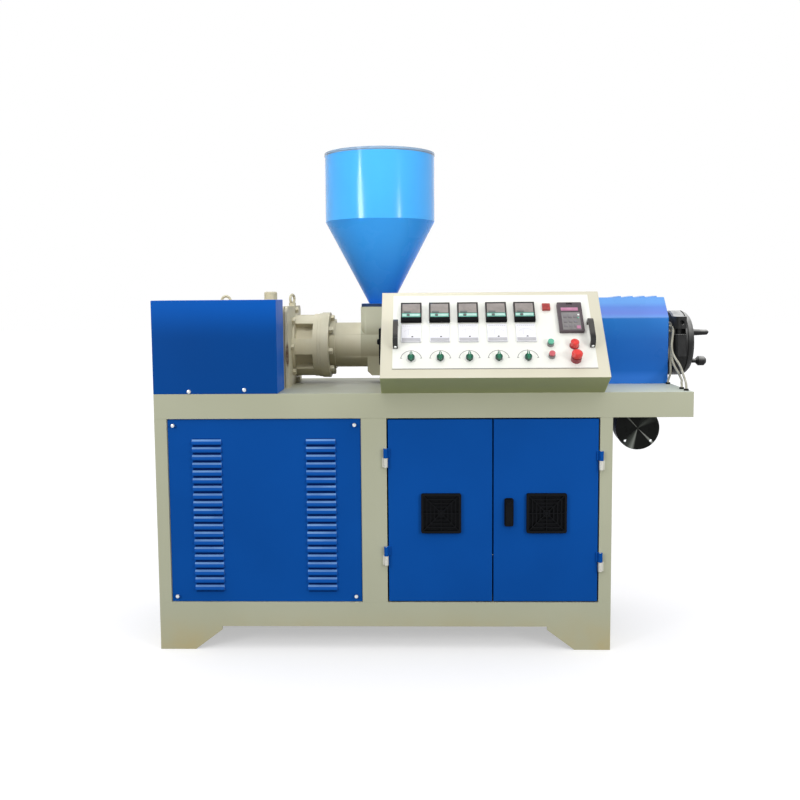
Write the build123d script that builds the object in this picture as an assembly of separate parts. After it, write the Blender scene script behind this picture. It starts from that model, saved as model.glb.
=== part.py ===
"""Single-screw plastic extruder on a folded-steel cabinet.

Working frame: X runs along the machine from the drive end to the die end, Y runs from the operator's side
to the back, Z is up from the floor. The finished pieces are shifted so that the origin lies on the floor
under the middle of the machine's outline.
"""
import os
from math import atan2, cos, degrees, hypot, radians, sin, tan

from build123d import *

# Cabinet and deck (millimetres)
DECK_OVERHANG = 268
DECK_TOP = 890
DECK_RIM = 85
DECK_SHEET = 5
DECK_LIP = 40
CORNER_POST = 42
MIDDLE_POST = 86
PANEL_OPENING = 662
DOOR_OPENING = 720
PANEL_LAP = 24
PANEL_SHEET = 2.5
PANEL_RECESS = 6
PANEL_EDGE_GAP = 2
FOOT_HEIGHT = 82
SKIRT_HEIGHT = 85
SKIRT_PLATE = 6
FOOT_SOLE = 122
FOOT_TOP = 216
FOOT_STEP = 12
FLOOR_SHEET = 5
PARTITION_SHEET = 3

# Louvres pressed into the drive-side panels
LOUVRE_ROWS = 20
LOUVRE_PITCH = 26.7
LOUVRE_LENGTH = 100
LOUVRE_HEIGHT = 18
LOUVRE_DEPTH = 9
LOUVRE_LIP = 4
LOUVRE_SHEET = 2
LOUVRE_FIRST_RISE = 43
LOUVRE_COLUMN_1 = 126
LOUVRE_COLUMN_2 = 516

# Cabinet doors and their lift-off hinges
DOOR_GAP = 5
DOOR_SHEET = 3
DOOR_RETURN = 20
HINGE_RADIUS = 7.5
HINGE_PIN_RADIUS = 4
HINGE_PIN_CLEARANCE = 0.1
HINGE_HALF = 32
HINGE_SPLIT_GAP = 0.5
HINGE_STANDOFF = 9
HINGE_INSET = 3
HINGE_LEAF = 4
HINGE_LEAF_WIDTH = 12
HINGE_DOOR_LAP = 6
HINGE_LEAF_GAP = 1
LEFT_HINGE_SPLITS = (333, 671)
RIGHT_HINGE_SPLITS = (311, 660)
VENT_SIZE = 136
VENT_DEPTH = 11
VENT_BACK = 2
VENT_BORDER = 8
VENT_CORNER = 6
VENT_GRID_FIRST = 22
VENT_GRID_PITCH = 26
VENT_GRID_COUNT = 4
VENT_BAR = 3
VENT_HOLE_RADIUS = 58
VENT_CENTRE_RISE = 480
LEFT_VENT_FROM_HINGE = 179
LATCH_VENT_GAP = 43.5
LATCH_WIDTH = 31
LATCH_LENGTH = 97
LATCH_CORNER = 7
LATCH_BASE = 6
LATCH_GRIP = 9
LATCH_GRIP_MARGIN = 4
LATCH_BUTTON_RADIUS = 7
LATCH_BUTTON = 4
LATCH_FROM_EDGE = 36
LATCH_RISE = 434

# Belt guard and gearbox
GUARD_LENGTH = 423
GUARD_HEIGHT = 317
GUARD_DEPTH = 152
GUARD_SHEET = 3
GEARBOX_LENGTH = 348
GEARBOX_GUARD_GAP = 43
GEARBOX_BACK_MARGIN = 30
GEARBOX_HEIGHT = 288
GEARBOX_CORNER = 22
FACEPLATE_THICKNESS = 24
FACEPLATE_HEIGHT = 292
FACEPLATE_PROUD = 9
FACEPLATE_GROOVE = 4
FACEPLATE_GROOVE_DEPTH = 8
EYE_FROM_LANTERN = 257
EYE_STEM = 12
EYE_SINK = 2
EYE_TURN = 70
EYE_RING_RADIUS = 16
EYE_WIRE_RADIUS = 5
EYE_WIRE_SIDES = 8
EYE_COLLAR_RADIUS = 13
BREATHER_FROM_LANTERN = 88
BREATHER_RADIUS = 24
BREATHER_STEM_RADIUS = 12
BREATHER_STEM = 12
BREATHER_CAP = 46
BREATHER_BEVEL = 4

# Screw line
AXIS_RISE = 143
CONSOLE_AISLE = 54
LANTERN_LENGTH = 134
LANTERN_RADIUS = 118
LANTERN_BAND = 12
LANTERN_BAND_RADIUS = 120
LANTERN_RING = 30
LANTERN_RING_RADIUS = 123
LANTERN_END_WALL = 8
WINDOW_COUNT = 6
WINDOW_LENGTH = 67
WINDOW_WIDTH = 62
WINDOW_FLOOR_RADIUS = 80
WINDOW_FIRST_ANGLE = 30
FEED_FLANGE = 21
FEED_FLANGE_RADIUS = 90
FEED_RADIUS = 84
FEED_LENGTH = 97
THROAT_WIDTH = 146
THROAT_TOP = 144
THROAT_CORNER = 22
THROAT_FOOT_DROP = 112
THROAT_FOOT_INSET = 24
THROAT_FOOT_BEVEL = 16
THROAT_BORE_RADIUS = 40
SCREW_RADIUS = 22.5
SCREW_ROOT_RADIUS = 15
SCREW_PITCH = 45
SCREW_FLIGHT = 7
SCREW_FLIGHT_ROOT = 1
SCREW_FLIGHT_INSET = 10
SCREW_CLEARANCE = 0.3
SCREW_TIP = 90
COUPLING_RADIUS = 56
COUPLING_LENGTH = 96
COUPLING_GAP = 5
COUPLING_CLEARANCE = 6
BARREL_RADIUS = 62
BARREL_FLANGE = 20
BARREL_FLANGE_RADIUS = 76
HEAD_FLANGE = 20
HEAD_FLANGE_RADIUS = 76
COVER_THROAT_GAP = 16
COVER_END_MARGIN = 10
COVER_BACK_MARGIN = 49
COVER_DEPTH = 242
COVER_HEIGHT = 315
COVER_BEVEL_RISE = 73
COVER_BEVEL_RUN = 70
COVER_SHEET = 3
COVER_HOLE_CLEARANCE = 6
COVER_VENT_COUNT = 4
COVER_VENT_PITCH = 44
COVER_VENT_LENGTH = 34
COVER_VENT_WIDTH = 76
COVER_VENT_RISE = 5
COVER_VENT_END = 24

# Die head with its clamp lugs and two handles
HEAD_GAP = 27
HEAD_LENGTH = 72
HEAD_RADIUS = 121
HEAD_BEVEL = 5
HEAD_NOSE_LENGTH = 24
HEAD_NOSE_DROP = 18
HEAD_NOSE_SHARE = 0.6
HEAD_GROOVE = 5
HEAD_GROOVE_DEPTH = 4
HEAD_GROOVE_FROM_LUG = 4
HEAD_OUTLET_RADIUS = 30
HEAD_OUTLET_DEPTH = 60
LUG_LENGTH = 38
LUG_PROUD = 6
LUG_DEPTH = 70
LUG_GAP_RISE = 36
LUG_GAP = 21
UPPER_LUG_HEIGHT = 44
LOWER_LUG_HEIGHT = 80
LUG_BEVEL = 6
CLAMP_BOLT_RADIUS = 9
LUG_SOCKET_RADIUS = 9
LUG_SOCKET_DEPTH = 14
HANDLE_FORWARD = 50
UPPER_HANDLE_RISE = 41
LOWER_HANDLE_DROP = 65
UPPER_HANDLE_REACH = 66
LOWER_HANDLE_REACH = 58
HANDLE_RADIUS = 13
HANDLE_TIP_RADIUS = 10
HANDLE_TIP_BEVEL = 6
HANDLE_STEM_RADIUS = 8
HANDLE_STEM = 20
HANDLE_TAPER = 10
HANDLE_KNOB_RADIUS = 18
HANDLE_KNOB_BEVEL = 8

# Hopper
HOPPER_RADIUS = 204
HOPPER_CONE_HEIGHT = 304
HOPPER_DRUM_HEIGHT = 250
HOPPER_OUTLET_RADIUS = 44
HOPPER_SHEET = 3
HOPPER_RIM_BEAD = 8
HOPPER_RIM_PROUD = 2
HOPPER_FLANGE = 12
HOPPER_FLANGE_INSET = 4

# Control console
CONSOLE_LEAD = 16
CONSOLE_LIP_OUT = 102
CONSOLE_LIP_RISE = 60
CONSOLE_TOP_BACK = 147
CONSOLE_TOP_RISE = 337
CONSOLE_TOP_DEPTH = 88
FACE_LEFT = 40
FACE_RIGHT = 38
FACE_BOTTOM = 38
FACE_TOP = 16
FACE_SHEET = 2
COLUMN_MARGIN = 26.5
CONTROLLER_COUNT = 5
CONTROLLER_WIDTH = 71
CONTROLLER_HEIGHT = 76
CONTROLLER_PROUD = 14
CONTROLLER_WINDOW = 4
CONTROLLER_GAP = 25.3
CONTROLLER_BASE = 199
METER_WIDTH = 66
METER_HEIGHT = 76
METER_PROUD = 5
METER_BASE = 109
METER_BAND = 18
METER_BAND_STEP = 2
SELECTOR_RISE = 40
SELECTOR_BEZEL_RADIUS = 16
SELECTOR_BEZEL = 4
SELECTOR_KNOB_RADIUS = 12
SELECTOR_KNOB = 8
SELECTOR_LEVER_LENGTH = 30
SELECTOR_LEVER_WIDTH = 9
SELECTOR_LEVER = 16
CONTROL_GAP = 0.5
LAMP_GAP = 27.3
LAMP_BASE = 245
LAMP_SIZE = 27
LAMP_PROUD = 9
KEYPAD_GAP = 23
KEYPAD_MARGIN = 29
KEYPAD_BASE = 145
KEYPAD_WIDTH = 83
KEYPAD_HEIGHT = 128
KEYPAD_PROUD = 12
KEYPAD_CORNER = 4
KEYPAD_SLOT_WIDTH = 20
KEYPAD_SLOT_HEIGHT = 7
KEYPAD_SLOT_DEPTH = 5
CONTROL_OFFSET = 1.5
START_RISE = 97
STOP_RISE = 47
BUTTON_RADIUS = 10
BUTTON_COLLAR_RADIUS = 11.5
BUTTON_COLLAR = 9
BUTTON_CAP = 6
BUTTON_TRAVEL = 4
BUTTON_STEM_RADIUS = 6
SPEED_RISE = 91
SPEED_KNOB_RADIUS = 14
SPEED_KNOB = 20
SPEED_KNOB_BEVEL = 4
ESTOP_RISE = 33
ESTOP_COLLAR_RADIUS = 17.5
ESTOP_COLLAR = 18
ESTOP_CAP_RADIUS = 18
ESTOP_CAP = 16
ESTOP_CAP_BEVEL = 7
ESTOP_STEM_RADIUS = 11
ESTOP_TRAVEL = 6
PULL_MARGIN = 1
PULL_BASE = 83
PULL_LENGTH = 110
PULL_WIDTH = 17
PULL_REACH = 38
PULL_BAR = 12
PULL_BEND = 26
SIDE_VENT_SIZE = 124
SIDE_VENT_DEPTH = 9
SIDE_VENT_BACK = 60
SIDE_VENT_RISE = 92

# Cooling blower under the deck's overhang
BLOWER_FROM_CABINET = 104
BLOWER_DROP = 135
BLOWER_FRONT = 100
BLOWER_COVER_RADIUS = 75
BLOWER_COVER = 8
BLOWER_RADIUS = 70
BLOWER_CASING = 74
BLOWER_MOTOR_RADIUS = 52
BLOWER_MOTOR = 130
BLOWER_DUCT_WIDTH = 60
BLOWER_CREASE = 4
BLOWER_CREASE_PROUD = 2

# Heater leads hanging from the cover's end to the deck, with their glands
LEAD_RADIUS = 4
LEAD_ARC_SHARE = 0.45
GLAND_RADIUS = 8
GLAND_LENGTH = 6
DECK_GLAND_LENGTH = 6
LEAD_ROUTES = (
    (
        (GLAND_LENGTH, 27, 210), (14, 27, 210), (19.5, 23, 205.5), (21, 14, 195), (16, 7, 168),
        (11, -1, 138), (12, -12, 112), (18, -31, 92), (24, -57, 76), (23, -94, 59), (16, -139, 44),
        (10, -181, 31), (4, -212, 25.5), (-1, -231, 24), (-3.5, -242, 21), (-4, -247, 14),
        (-4, -247, DECK_GLAND_LENGTH),
    ),
    (
        (GLAND_LENGTH, 30, 192), (14, 30, 192), (19.5, 27, 187), (21, 20, 176), (16, 13, 150),
        (12, 6, 120), (12, -1, 96), (15, -12, 74), (20, -31, 56), (22, -61, 42), (18, -99, 31),
        (11, -139, 26), (4, -165, 24), (-1.5, -180, 23.5), (-3.5, -188, 21), (-4, -193, 14),
        (-4, -193, DECK_GLAND_LENGTH),
    ),
    (
        (GLAND_LENGTH, 51, 222), (13, 51, 222), (18.5, 48, 218), (20, 41, 208), (17, 37, 185),
        (14, 34, 155), (13, 27, 125), (12, 18, 98), (10, 8, 74), (9, -4, 53), (6, -12, 40),
        (2, -18, 30), (-2, -19.5, 19.5), (-4, -19, 13), (-4, -19, DECK_GLAND_LENGTH),
    ),
)

# Sizes worked out from the above
CABINET_LENGTH = 2 * CORNER_POST + PANEL_OPENING + MIDDLE_POST + DOOR_OPENING
DECK_LENGTH = CABINET_LENGTH + DECK_OVERHANG
CONSOLE_BACK = CONSOLE_TOP_BACK + CONSOLE_TOP_DEPTH
AXIS_DEPTH = CONSOLE_BACK + CONSOLE_AISLE + COVER_DEPTH / 2
DECK_DEPTH = AXIS_DEPTH + COVER_DEPTH / 2 + COVER_BACK_MARGIN
SKIRT_TOP = FOOT_HEIGHT + SKIRT_HEIGHT
RIM_BOTTOM = DECK_TOP - DECK_RIM
PANEL_END = CORNER_POST + PANEL_OPENING
DOORS_START = PANEL_END + MIDDLE_POST
DOORS_END = DOORS_START + DOOR_OPENING
POST_DEPTH = CORNER_POST + PANEL_LAP
PANEL_SEAT = PANEL_RECESS + PANEL_SHEET
DOOR_WIDTH = (DOOR_OPENING - 3 * DOOR_GAP) / 2
DOOR_BOTTOM = SKIRT_TOP + DOOR_GAP
DOOR_HEIGHT = RIM_BOTTOM - DOOR_GAP - DOOR_BOTTOM
AXIS_Z = DECK_TOP + AXIS_RISE
GEARBOX_TOP = DECK_TOP + GEARBOX_HEIGHT
GEARBOX_FRONT = GUARD_DEPTH + GEARBOX_GUARD_GAP
GEARBOX_BACK = DECK_DEPTH - GEARBOX_BACK_MARGIN
GEARBOX_MIDDLE = (GEARBOX_FRONT + GEARBOX_BACK) / 2
LANTERN_START = GUARD_LENGTH + FACEPLATE_PROUD
FACEPLATE_START = LANTERN_START - FACEPLATE_THICKNESS
EYE_X = LANTERN_START - EYE_FROM_LANTERN
BREATHER_X = LANTERN_START - BREATHER_FROM_LANTERN
LANTERN_END = LANTERN_START + LANTERN_LENGTH
FEED_END = LANTERN_END + FEED_FLANGE + FEED_LENGTH
HOPPER_X = FEED_END + THROAT_WIDTH / 2
THROAT_END = FEED_END + THROAT_WIDTH
THROAT_RISE = AXIS_Z + THROAT_TOP
HOPPER_BASE = THROAT_RISE + HOPPER_FLANGE
HOPPER_SEAM_RISE = HOPPER_BASE + HOPPER_CONE_HEIGHT
HOPPER_RIM_RISE = HOPPER_SEAM_RISE + HOPPER_DRUM_HEIGHT
COVER_START = THROAT_END + COVER_THROAT_GAP
COVER_END = DECK_LENGTH - COVER_END_MARGIN
COVER_TOP = DECK_TOP + COVER_HEIGHT
COVER_FRONT = AXIS_DEPTH - COVER_DEPTH / 2
HEAD_START = COVER_END + HEAD_GAP
HEAD_END = HEAD_START + HEAD_LENGTH
CONSOLE_START = DOORS_START - CONSOLE_LEAD
BLOWER_POSITION = CABINET_LENGTH + BLOWER_FROM_CABINET
BLOWER_Z = DECK_TOP - BLOWER_DROP
LEFT_DOOR_START = DOORS_START + DOOR_GAP
RIGHT_DOOR_START = LEFT_DOOR_START + DOOR_WIDTH + DOOR_GAP
LEFT_VENT_X = LEFT_DOOR_START + LEFT_VENT_FROM_HINGE
LATCH_X = RIGHT_DOOR_START + LATCH_FROM_EDGE + LATCH_WIDTH / 2
RIGHT_VENT_X = LATCH_X + LATCH_WIDTH / 2 + LATCH_VENT_GAP + VENT_SIZE / 2
LEFT_HINGE_X = DOORS_START - HINGE_INSET
RIGHT_HINGE_X = DOORS_END + HINGE_INSET
FACE_LENGTH = ((CONSOLE_LIP_OUT + CONSOLE_TOP_BACK) ** 2 + (CONSOLE_TOP_RISE - CONSOLE_LIP_RISE) ** 2) ** 0.5
FACE_ANGLE = degrees(atan2(CONSOLE_TOP_RISE - CONSOLE_LIP_RISE, CONSOLE_LIP_OUT + CONSOLE_TOP_BACK))
FACE_TILT = radians(FACE_ANGLE)
FACE_PLANE = Plane(
    origin=(
        CONSOLE_START + FACE_LEFT,
        FACE_BOTTOM * cos(FACE_TILT) - CONSOLE_LIP_OUT,
        FACE_BOTTOM * sin(FACE_TILT) + DECK_TOP + CONSOLE_LIP_RISE,
    ),
    x_dir=(1, 0, 0),
    z_dir=(0, -sin(FACE_TILT), cos(FACE_TILT)),
)
CONTROLLER_PITCH = CONTROLLER_WIDTH + CONTROLLER_GAP
LAMP_LEFT = COLUMN_MARGIN + CONTROLLER_COUNT * CONTROLLER_PITCH - CONTROLLER_GAP + LAMP_GAP
KEYPAD_LEFT = LAMP_LEFT + LAMP_SIZE + KEYPAD_GAP
FACE_WIDTH = KEYPAD_LEFT + KEYPAD_WIDTH + KEYPAD_MARGIN
CONSOLE_WIDTH = FACE_LEFT + FACE_WIDTH + FACE_RIGHT
BUTTON_LEFT = LAMP_LEFT + LAMP_SIZE / 2 + CONTROL_OFFSET
SPEED_LEFT = KEYPAD_LEFT + KEYPAD_WIDTH / 2 + CONTROL_OFFSET


def block(x0, x1, y0, y1, z0, z1):
    """Box between two opposite corners."""
    return Pos((x0 + x1) / 2, (y0 + y1) / 2, (z0 + z1) / 2) * Box(x1 - x0, y1 - y0, z1 - z0)


def rod_x(x0, x1, y, z, radius):
    """Round bar along X."""
    return Pos((x0 + x1) / 2, y, z) * Rot(0, 90, 0) * Cylinder(radius, x1 - x0)


def rod_y(x, y0, y1, z, radius):
    """Round bar along Y."""
    return Pos(x, (y0 + y1) / 2, z) * Rot(90, 0, 0) * Cylinder(radius, y1 - y0)


def rod_z(x, y, z0, z1, radius):
    """Round bar along Z."""
    return Pos(x, y, (z0 + z1) / 2) * Cylinder(radius, z1 - z0)


def prism(points, reach):
    """Flat outline through 3-D points, pushed out along a vector."""
    outline = make_face(Polyline(*points, close=True))
    return extrude(outline, amount=Vector(*reach).length, dir=reach)


def on_face(u, v, height):
    """Place over the white plate's lower left corner: u to the right, v up the slope, height out of it."""
    return FACE_PLANE.location * Pos(u, v, height)


def mirror_end(shape):
    """Carry a piece of the drive-side end wall to the other end of the cabinet."""
    return mirror(shape, about=Plane(origin=(CABINET_LENGTH / 2, 0, 0), z_dir=(1, 0, 0)))


def mirror_back(shape):
    """Carry a piece of the front wall to the back wall."""
    return mirror(shape, about=Plane(origin=(0, DECK_DEPTH / 2, 0), z_dir=(0, 1, 0)))


def deck_tray():
    """Folded deck: top sheet, turned-down rim and return lip."""
    outer = block(0, DECK_LENGTH, 0, DECK_DEPTH, RIM_BOTTOM, DECK_TOP)
    hollow = block(
        DECK_SHEET, DECK_LENGTH - DECK_SHEET,
        DECK_SHEET, DECK_DEPTH - DECK_SHEET,
        RIM_BOTTOM + DECK_SHEET, DECK_TOP - DECK_SHEET,
    )
    mouth = block(
        DECK_LIP, DECK_LENGTH - DECK_LIP,
        DECK_LIP, DECK_DEPTH - DECK_LIP,
        RIM_BOTTOM, RIM_BOTTOM + DECK_SHEET,
    )
    return outer - hollow - mouth


def corner_post(panel_beside):
    """Corner post with set-back laps that carry the end panel and, if there is one, the panel beside it."""
    post = block(0, CORNER_POST, 0, CORNER_POST, SKIRT_TOP, RIM_BOTTOM)
    post += block(PANEL_SEAT, CORNER_POST, CORNER_POST, POST_DEPTH, SKIRT_TOP, RIM_BOTTOM)
    if panel_beside:
        post += block(CORNER_POST, POST_DEPTH, PANEL_SEAT, CORNER_POST, SKIRT_TOP, RIM_BOTTOM)
    return post


def middle_post(panel_beyond):
    """Wide post between the two bays, with a set-back lap for each panel it carries."""
    post = block(PANEL_END, DOORS_START, 0, POST_DEPTH, SKIRT_TOP, RIM_BOTTOM)
    post += block(PANEL_END - PANEL_LAP, PANEL_END, PANEL_SEAT, POST_DEPTH, SKIRT_TOP, RIM_BOTTOM)
    if panel_beyond:
        post += block(DOORS_START, DOORS_START + PANEL_LAP, PANEL_SEAT, POST_DEPTH, SKIRT_TOP, RIM_BOTTOM)
    return post


def posts():
    """Six folded posts between the skirt and the deck's lip."""
    front = [corner_post(True), middle_post(False), mirror_end(corner_post(False))]
    back = [corner_post(True), middle_post(True), mirror_end(corner_post(True))]
    return Compound(children=front + [mirror_back(post) for post in back])


def skirt_outline(length):
    """Skirt plate with a slanted foot at each end, as (along, up) pairs."""
    return (
        (0, 0),
        (FOOT_SOLE, 0),
        (FOOT_TOP, FOOT_HEIGHT - FOOT_STEP),
        (FOOT_TOP, FOOT_HEIGHT),
        (length - FOOT_TOP, FOOT_HEIGHT),
        (length - FOOT_TOP, FOOT_HEIGHT - FOOT_STEP),
        (length - FOOT_SOLE, 0),
        (length, 0),
        (length, SKIRT_TOP),
        (0, SKIRT_TOP),
    )


def base_skirt():
    """Four skirt plates welded at the corners, each corner standing on an angled foot."""
    long_side = [(along, 0, up) for along, up in skirt_outline(CABINET_LENGTH)]
    short_side = [(0, along, up) for along, up in skirt_outline(DECK_DEPTH)]
    front = prism(long_side, (0, SKIRT_PLATE, 0))
    left = prism(short_side, (SKIRT_PLATE, 0, 0))
    back = Pos(0, DECK_DEPTH - SKIRT_PLATE, 0) * front
    right = Pos(CABINET_LENGTH - SKIRT_PLATE, 0, 0) * left
    return front + left + back + right


def floor_pan():
    """Cabinet floor, let into the top of the skirt."""
    return block(
        SKIRT_PLATE, CABINET_LENGTH - SKIRT_PLATE,
        SKIRT_PLATE, DECK_DEPTH - SKIRT_PLATE,
        SKIRT_TOP - FLOOR_SHEET, SKIRT_TOP,
    )


def partition():
    """Sheet between the drive bay and the electrical bay."""
    return block(
        DOORS_START - PARTITION_SHEET, DOORS_START,
        POST_DEPTH, DECK_DEPTH - POST_DEPTH,
        SKIRT_TOP, RIM_BOTTOM,
    )


def louvre(x0, z0):
    """One louvre: the hood pressed out of the sheet and the space under it, open below and to the inside."""
    lip = PANEL_RECESS - LOUVRE_DEPTH
    back = PANEL_RECESS + PANEL_SHEET
    top = z0 + LOUVRE_HEIGHT
    knee = z0 + LOUVRE_LIP
    under = top - 2 * LOUVRE_SHEET
    hood = prism(
        ((x0, PANEL_RECESS, z0), (x0, lip, z0), (x0, lip, knee), (x0, PANEL_RECESS, top)),
        (LOUVRE_LENGTH, 0, 0),
    )
    x1 = x0 + LOUVRE_SHEET
    space = prism(
        (
            (x1, back, z0),
            (x1, lip + LOUVRE_SHEET, z0),
            (x1, lip + LOUVRE_SHEET, knee - LOUVRE_SHEET / 2),
            (x1, PANEL_RECESS, under),
            (x1, back, under),
        ),
        (LOUVRE_LENGTH - 2 * LOUVRE_SHEET, 0, 0),
    )
    return hood, space


def louvre_panel():
    """Drive-bay panel set back between its posts, with two columns of louvres."""
    sheet = block(
        CORNER_POST + PANEL_EDGE_GAP, PANEL_END - PANEL_EDGE_GAP,
        PANEL_RECESS, PANEL_RECESS + PANEL_SHEET,
        SKIRT_TOP + PANEL_EDGE_GAP, RIM_BOTTOM - PANEL_EDGE_GAP,
    )
    hoods = []
    spaces = []
    for start in (LOUVRE_COLUMN_1, LOUVRE_COLUMN_2):
        for row in range(LOUVRE_ROWS):
            hood, space = louvre(start, SKIRT_TOP + LOUVRE_FIRST_RISE + row * LOUVRE_PITCH)
            hoods.append(hood)
            spaces.append(space)
    return sheet.fuse(*hoods).cut(*spaces)


def plain_panel():
    """Plain sheet that closes the electrical bay, drawn on the front wall."""
    return block(
        DOORS_START + PANEL_EDGE_GAP, DOORS_END - PANEL_EDGE_GAP,
        PANEL_RECESS, PANEL_RECESS + PANEL_SHEET,
        SKIRT_TOP + PANEL_EDGE_GAP, RIM_BOTTOM - PANEL_EDGE_GAP,
    )


def end_panels():
    """Plain sheets closing the two ends of the cabinet."""
    left = block(
        PANEL_RECESS, PANEL_RECESS + PANEL_SHEET,
        CORNER_POST + PANEL_EDGE_GAP, DECK_DEPTH - CORNER_POST - PANEL_EDGE_GAP,
        SKIRT_TOP + PANEL_EDGE_GAP, RIM_BOTTOM - PANEL_EDGE_GAP,
    )
    return Compound(children=[left, mirror_end(left)])


def hinge_base(axis_x, split, side):
    """Frame half of a lift-off hinge: knuckle, leaf and pin. side is -1 for a post on the left."""
    knuckle = rod_z(axis_x, -HINGE_STANDOFF, split - HINGE_HALF, split - HINGE_SPLIT_GAP, HINGE_RADIUS)
    leaf_x = sorted((axis_x, axis_x + side * HINGE_LEAF_WIDTH))
    leaf = block(
        leaf_x[0], leaf_x[1],
        -HINGE_LEAF - HINGE_LEAF_GAP, 0,
        split - HINGE_HALF, split - HINGE_SPLIT_GAP,
    )
    pin = rod_z(axis_x, -HINGE_STANDOFF, split - HINGE_HALF, split + HINGE_HALF, HINGE_PIN_RADIUS)
    return knuckle + leaf + pin


def hinge_bases():
    """The four frame halves of the door hinges."""
    left = [hinge_base(LEFT_HINGE_X, split, -1) for split in LEFT_HINGE_SPLITS]
    right = [hinge_base(RIGHT_HINGE_X, split, 1) for split in RIGHT_HINGE_SPLITS]
    return Compound(children=left + right)


def door_knuckle(axis_x, split, side):
    """Door half of a lift-off hinge, bored for the pin. side is 1 where the door lies to the right."""
    edge = HINGE_INSET + DOOR_GAP
    body = rod_z(axis_x, -HINGE_STANDOFF, split, split + HINGE_HALF, HINGE_RADIUS)
    reach_x = sorted((axis_x, axis_x + side * (edge + HINGE_DOOR_LAP)))
    leaf = block(
        reach_x[0], reach_x[1],
        -HINGE_LEAF - HINGE_LEAF_GAP, -HINGE_LEAF_GAP,
        split, split + HINGE_HALF,
    )
    pad_x = sorted((axis_x + side * edge, axis_x + side * (edge + HINGE_DOOR_LAP)))
    pad = block(pad_x[0], pad_x[1], -HINGE_LEAF_GAP, 0, split, split + HINGE_HALF)
    bore = rod_z(
        axis_x, -HINGE_STANDOFF, split, split + HINGE_HALF, HINGE_PIN_RADIUS + HINGE_PIN_CLEARANCE
    )
    return body + leaf + pad - bore


def door(start, vent_x, axis_x, splits, side):
    """Door pan with turned-back edges, its vent hole and two hinge halves."""
    end = start + DOOR_WIDTH
    top = DOOR_BOTTOM + DOOR_HEIGHT
    pan = block(start, end, 0, DOOR_RETURN, DOOR_BOTTOM, top)
    hollow = block(
        start + DOOR_SHEET, end - DOOR_SHEET,
        DOOR_SHEET, DOOR_RETURN,
        DOOR_BOTTOM + DOOR_SHEET, top - DOOR_SHEET,
    )
    vent_hole = rod_y(vent_x, 0, DOOR_SHEET, VENT_CENTRE_RISE, VENT_HOLE_RADIUS)
    knuckles = [door_knuckle(axis_x, split, side) for split in splits]
    return (pan - hollow - vent_hole).fuse(*knuckles)


def vent_grille(size, depth):
    """Square fan guard lying in the XY plane: border, filter pad, square bars and crossed ribs."""
    opening = size - 2 * VENT_BORDER
    frame = extrude(RectangleRounded(size, size, VENT_CORNER), amount=depth)
    well = Pos(0, 0, VENT_BACK) * extrude(Rectangle(opening, opening), amount=depth)
    guard = Rectangle(VENT_BAR, opening) + Rectangle(opening, VENT_BAR)
    for step in range(VENT_GRID_COUNT):
        side = VENT_GRID_FIRST + step * VENT_GRID_PITCH
        guard += Rectangle(side, side) - Rectangle(side - 2 * VENT_BAR, side - 2 * VENT_BAR)
    for turn in (45, -45):
        guard += Rot(0, 0, turn) * Rectangle(hypot(opening, opening), VENT_BAR)
    bars = Pos(0, 0, depth / 2) * extrude(guard, amount=depth / 2 - VENT_BACK / 2)
    return frame - well + bars


def door_vent(vent_x):
    """Fan guard on the front of a door."""
    return Pos(vent_x, 0, VENT_CENTRE_RISE) * Rot(90, 0, 0) * vent_grille(VENT_SIZE, VENT_DEPTH)


def door_latch():
    """Flat swing latch with rounded corners, a raised grip and its push button."""
    base = extrude(RectangleRounded(LATCH_LENGTH, LATCH_WIDTH, LATCH_CORNER), amount=LATCH_BASE)
    grip_length = LATCH_LENGTH - 2 * LATCH_GRIP_MARGIN
    grip_width = LATCH_WIDTH - 2 * LATCH_GRIP_MARGIN
    grip = RectangleRounded(grip_length, grip_width, LATCH_CORNER - LATCH_GRIP_MARGIN)
    grip = Pos(0, 0, LATCH_BASE) * extrude(grip, amount=LATCH_GRIP)
    button = Pos(LATCH_LENGTH / 2 - LATCH_WIDTH / 2, 0, LATCH_BASE + LATCH_GRIP) * extrude(
        Circle(LATCH_BUTTON_RADIUS), amount=LATCH_BUTTON
    )
    z = LATCH_RISE + LATCH_LENGTH / 2
    return Pos(LATCH_X, 0, z) * Rot(90, 0, 0) * Rot(0, 0, 90) * (base + grip + button)


def gear_guard():
    """Belt guard: sheet box in front of the gearbox, open below."""
    top = DECK_TOP + GUARD_HEIGHT
    outer = block(0, GUARD_LENGTH, 0, GUARD_DEPTH, DECK_TOP, top)
    inside = block(
        GUARD_SHEET, GUARD_LENGTH - GUARD_SHEET,
        GUARD_SHEET, GUARD_DEPTH - GUARD_SHEET,
        DECK_TOP, top - GUARD_SHEET,
    )
    return outer - inside


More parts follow.
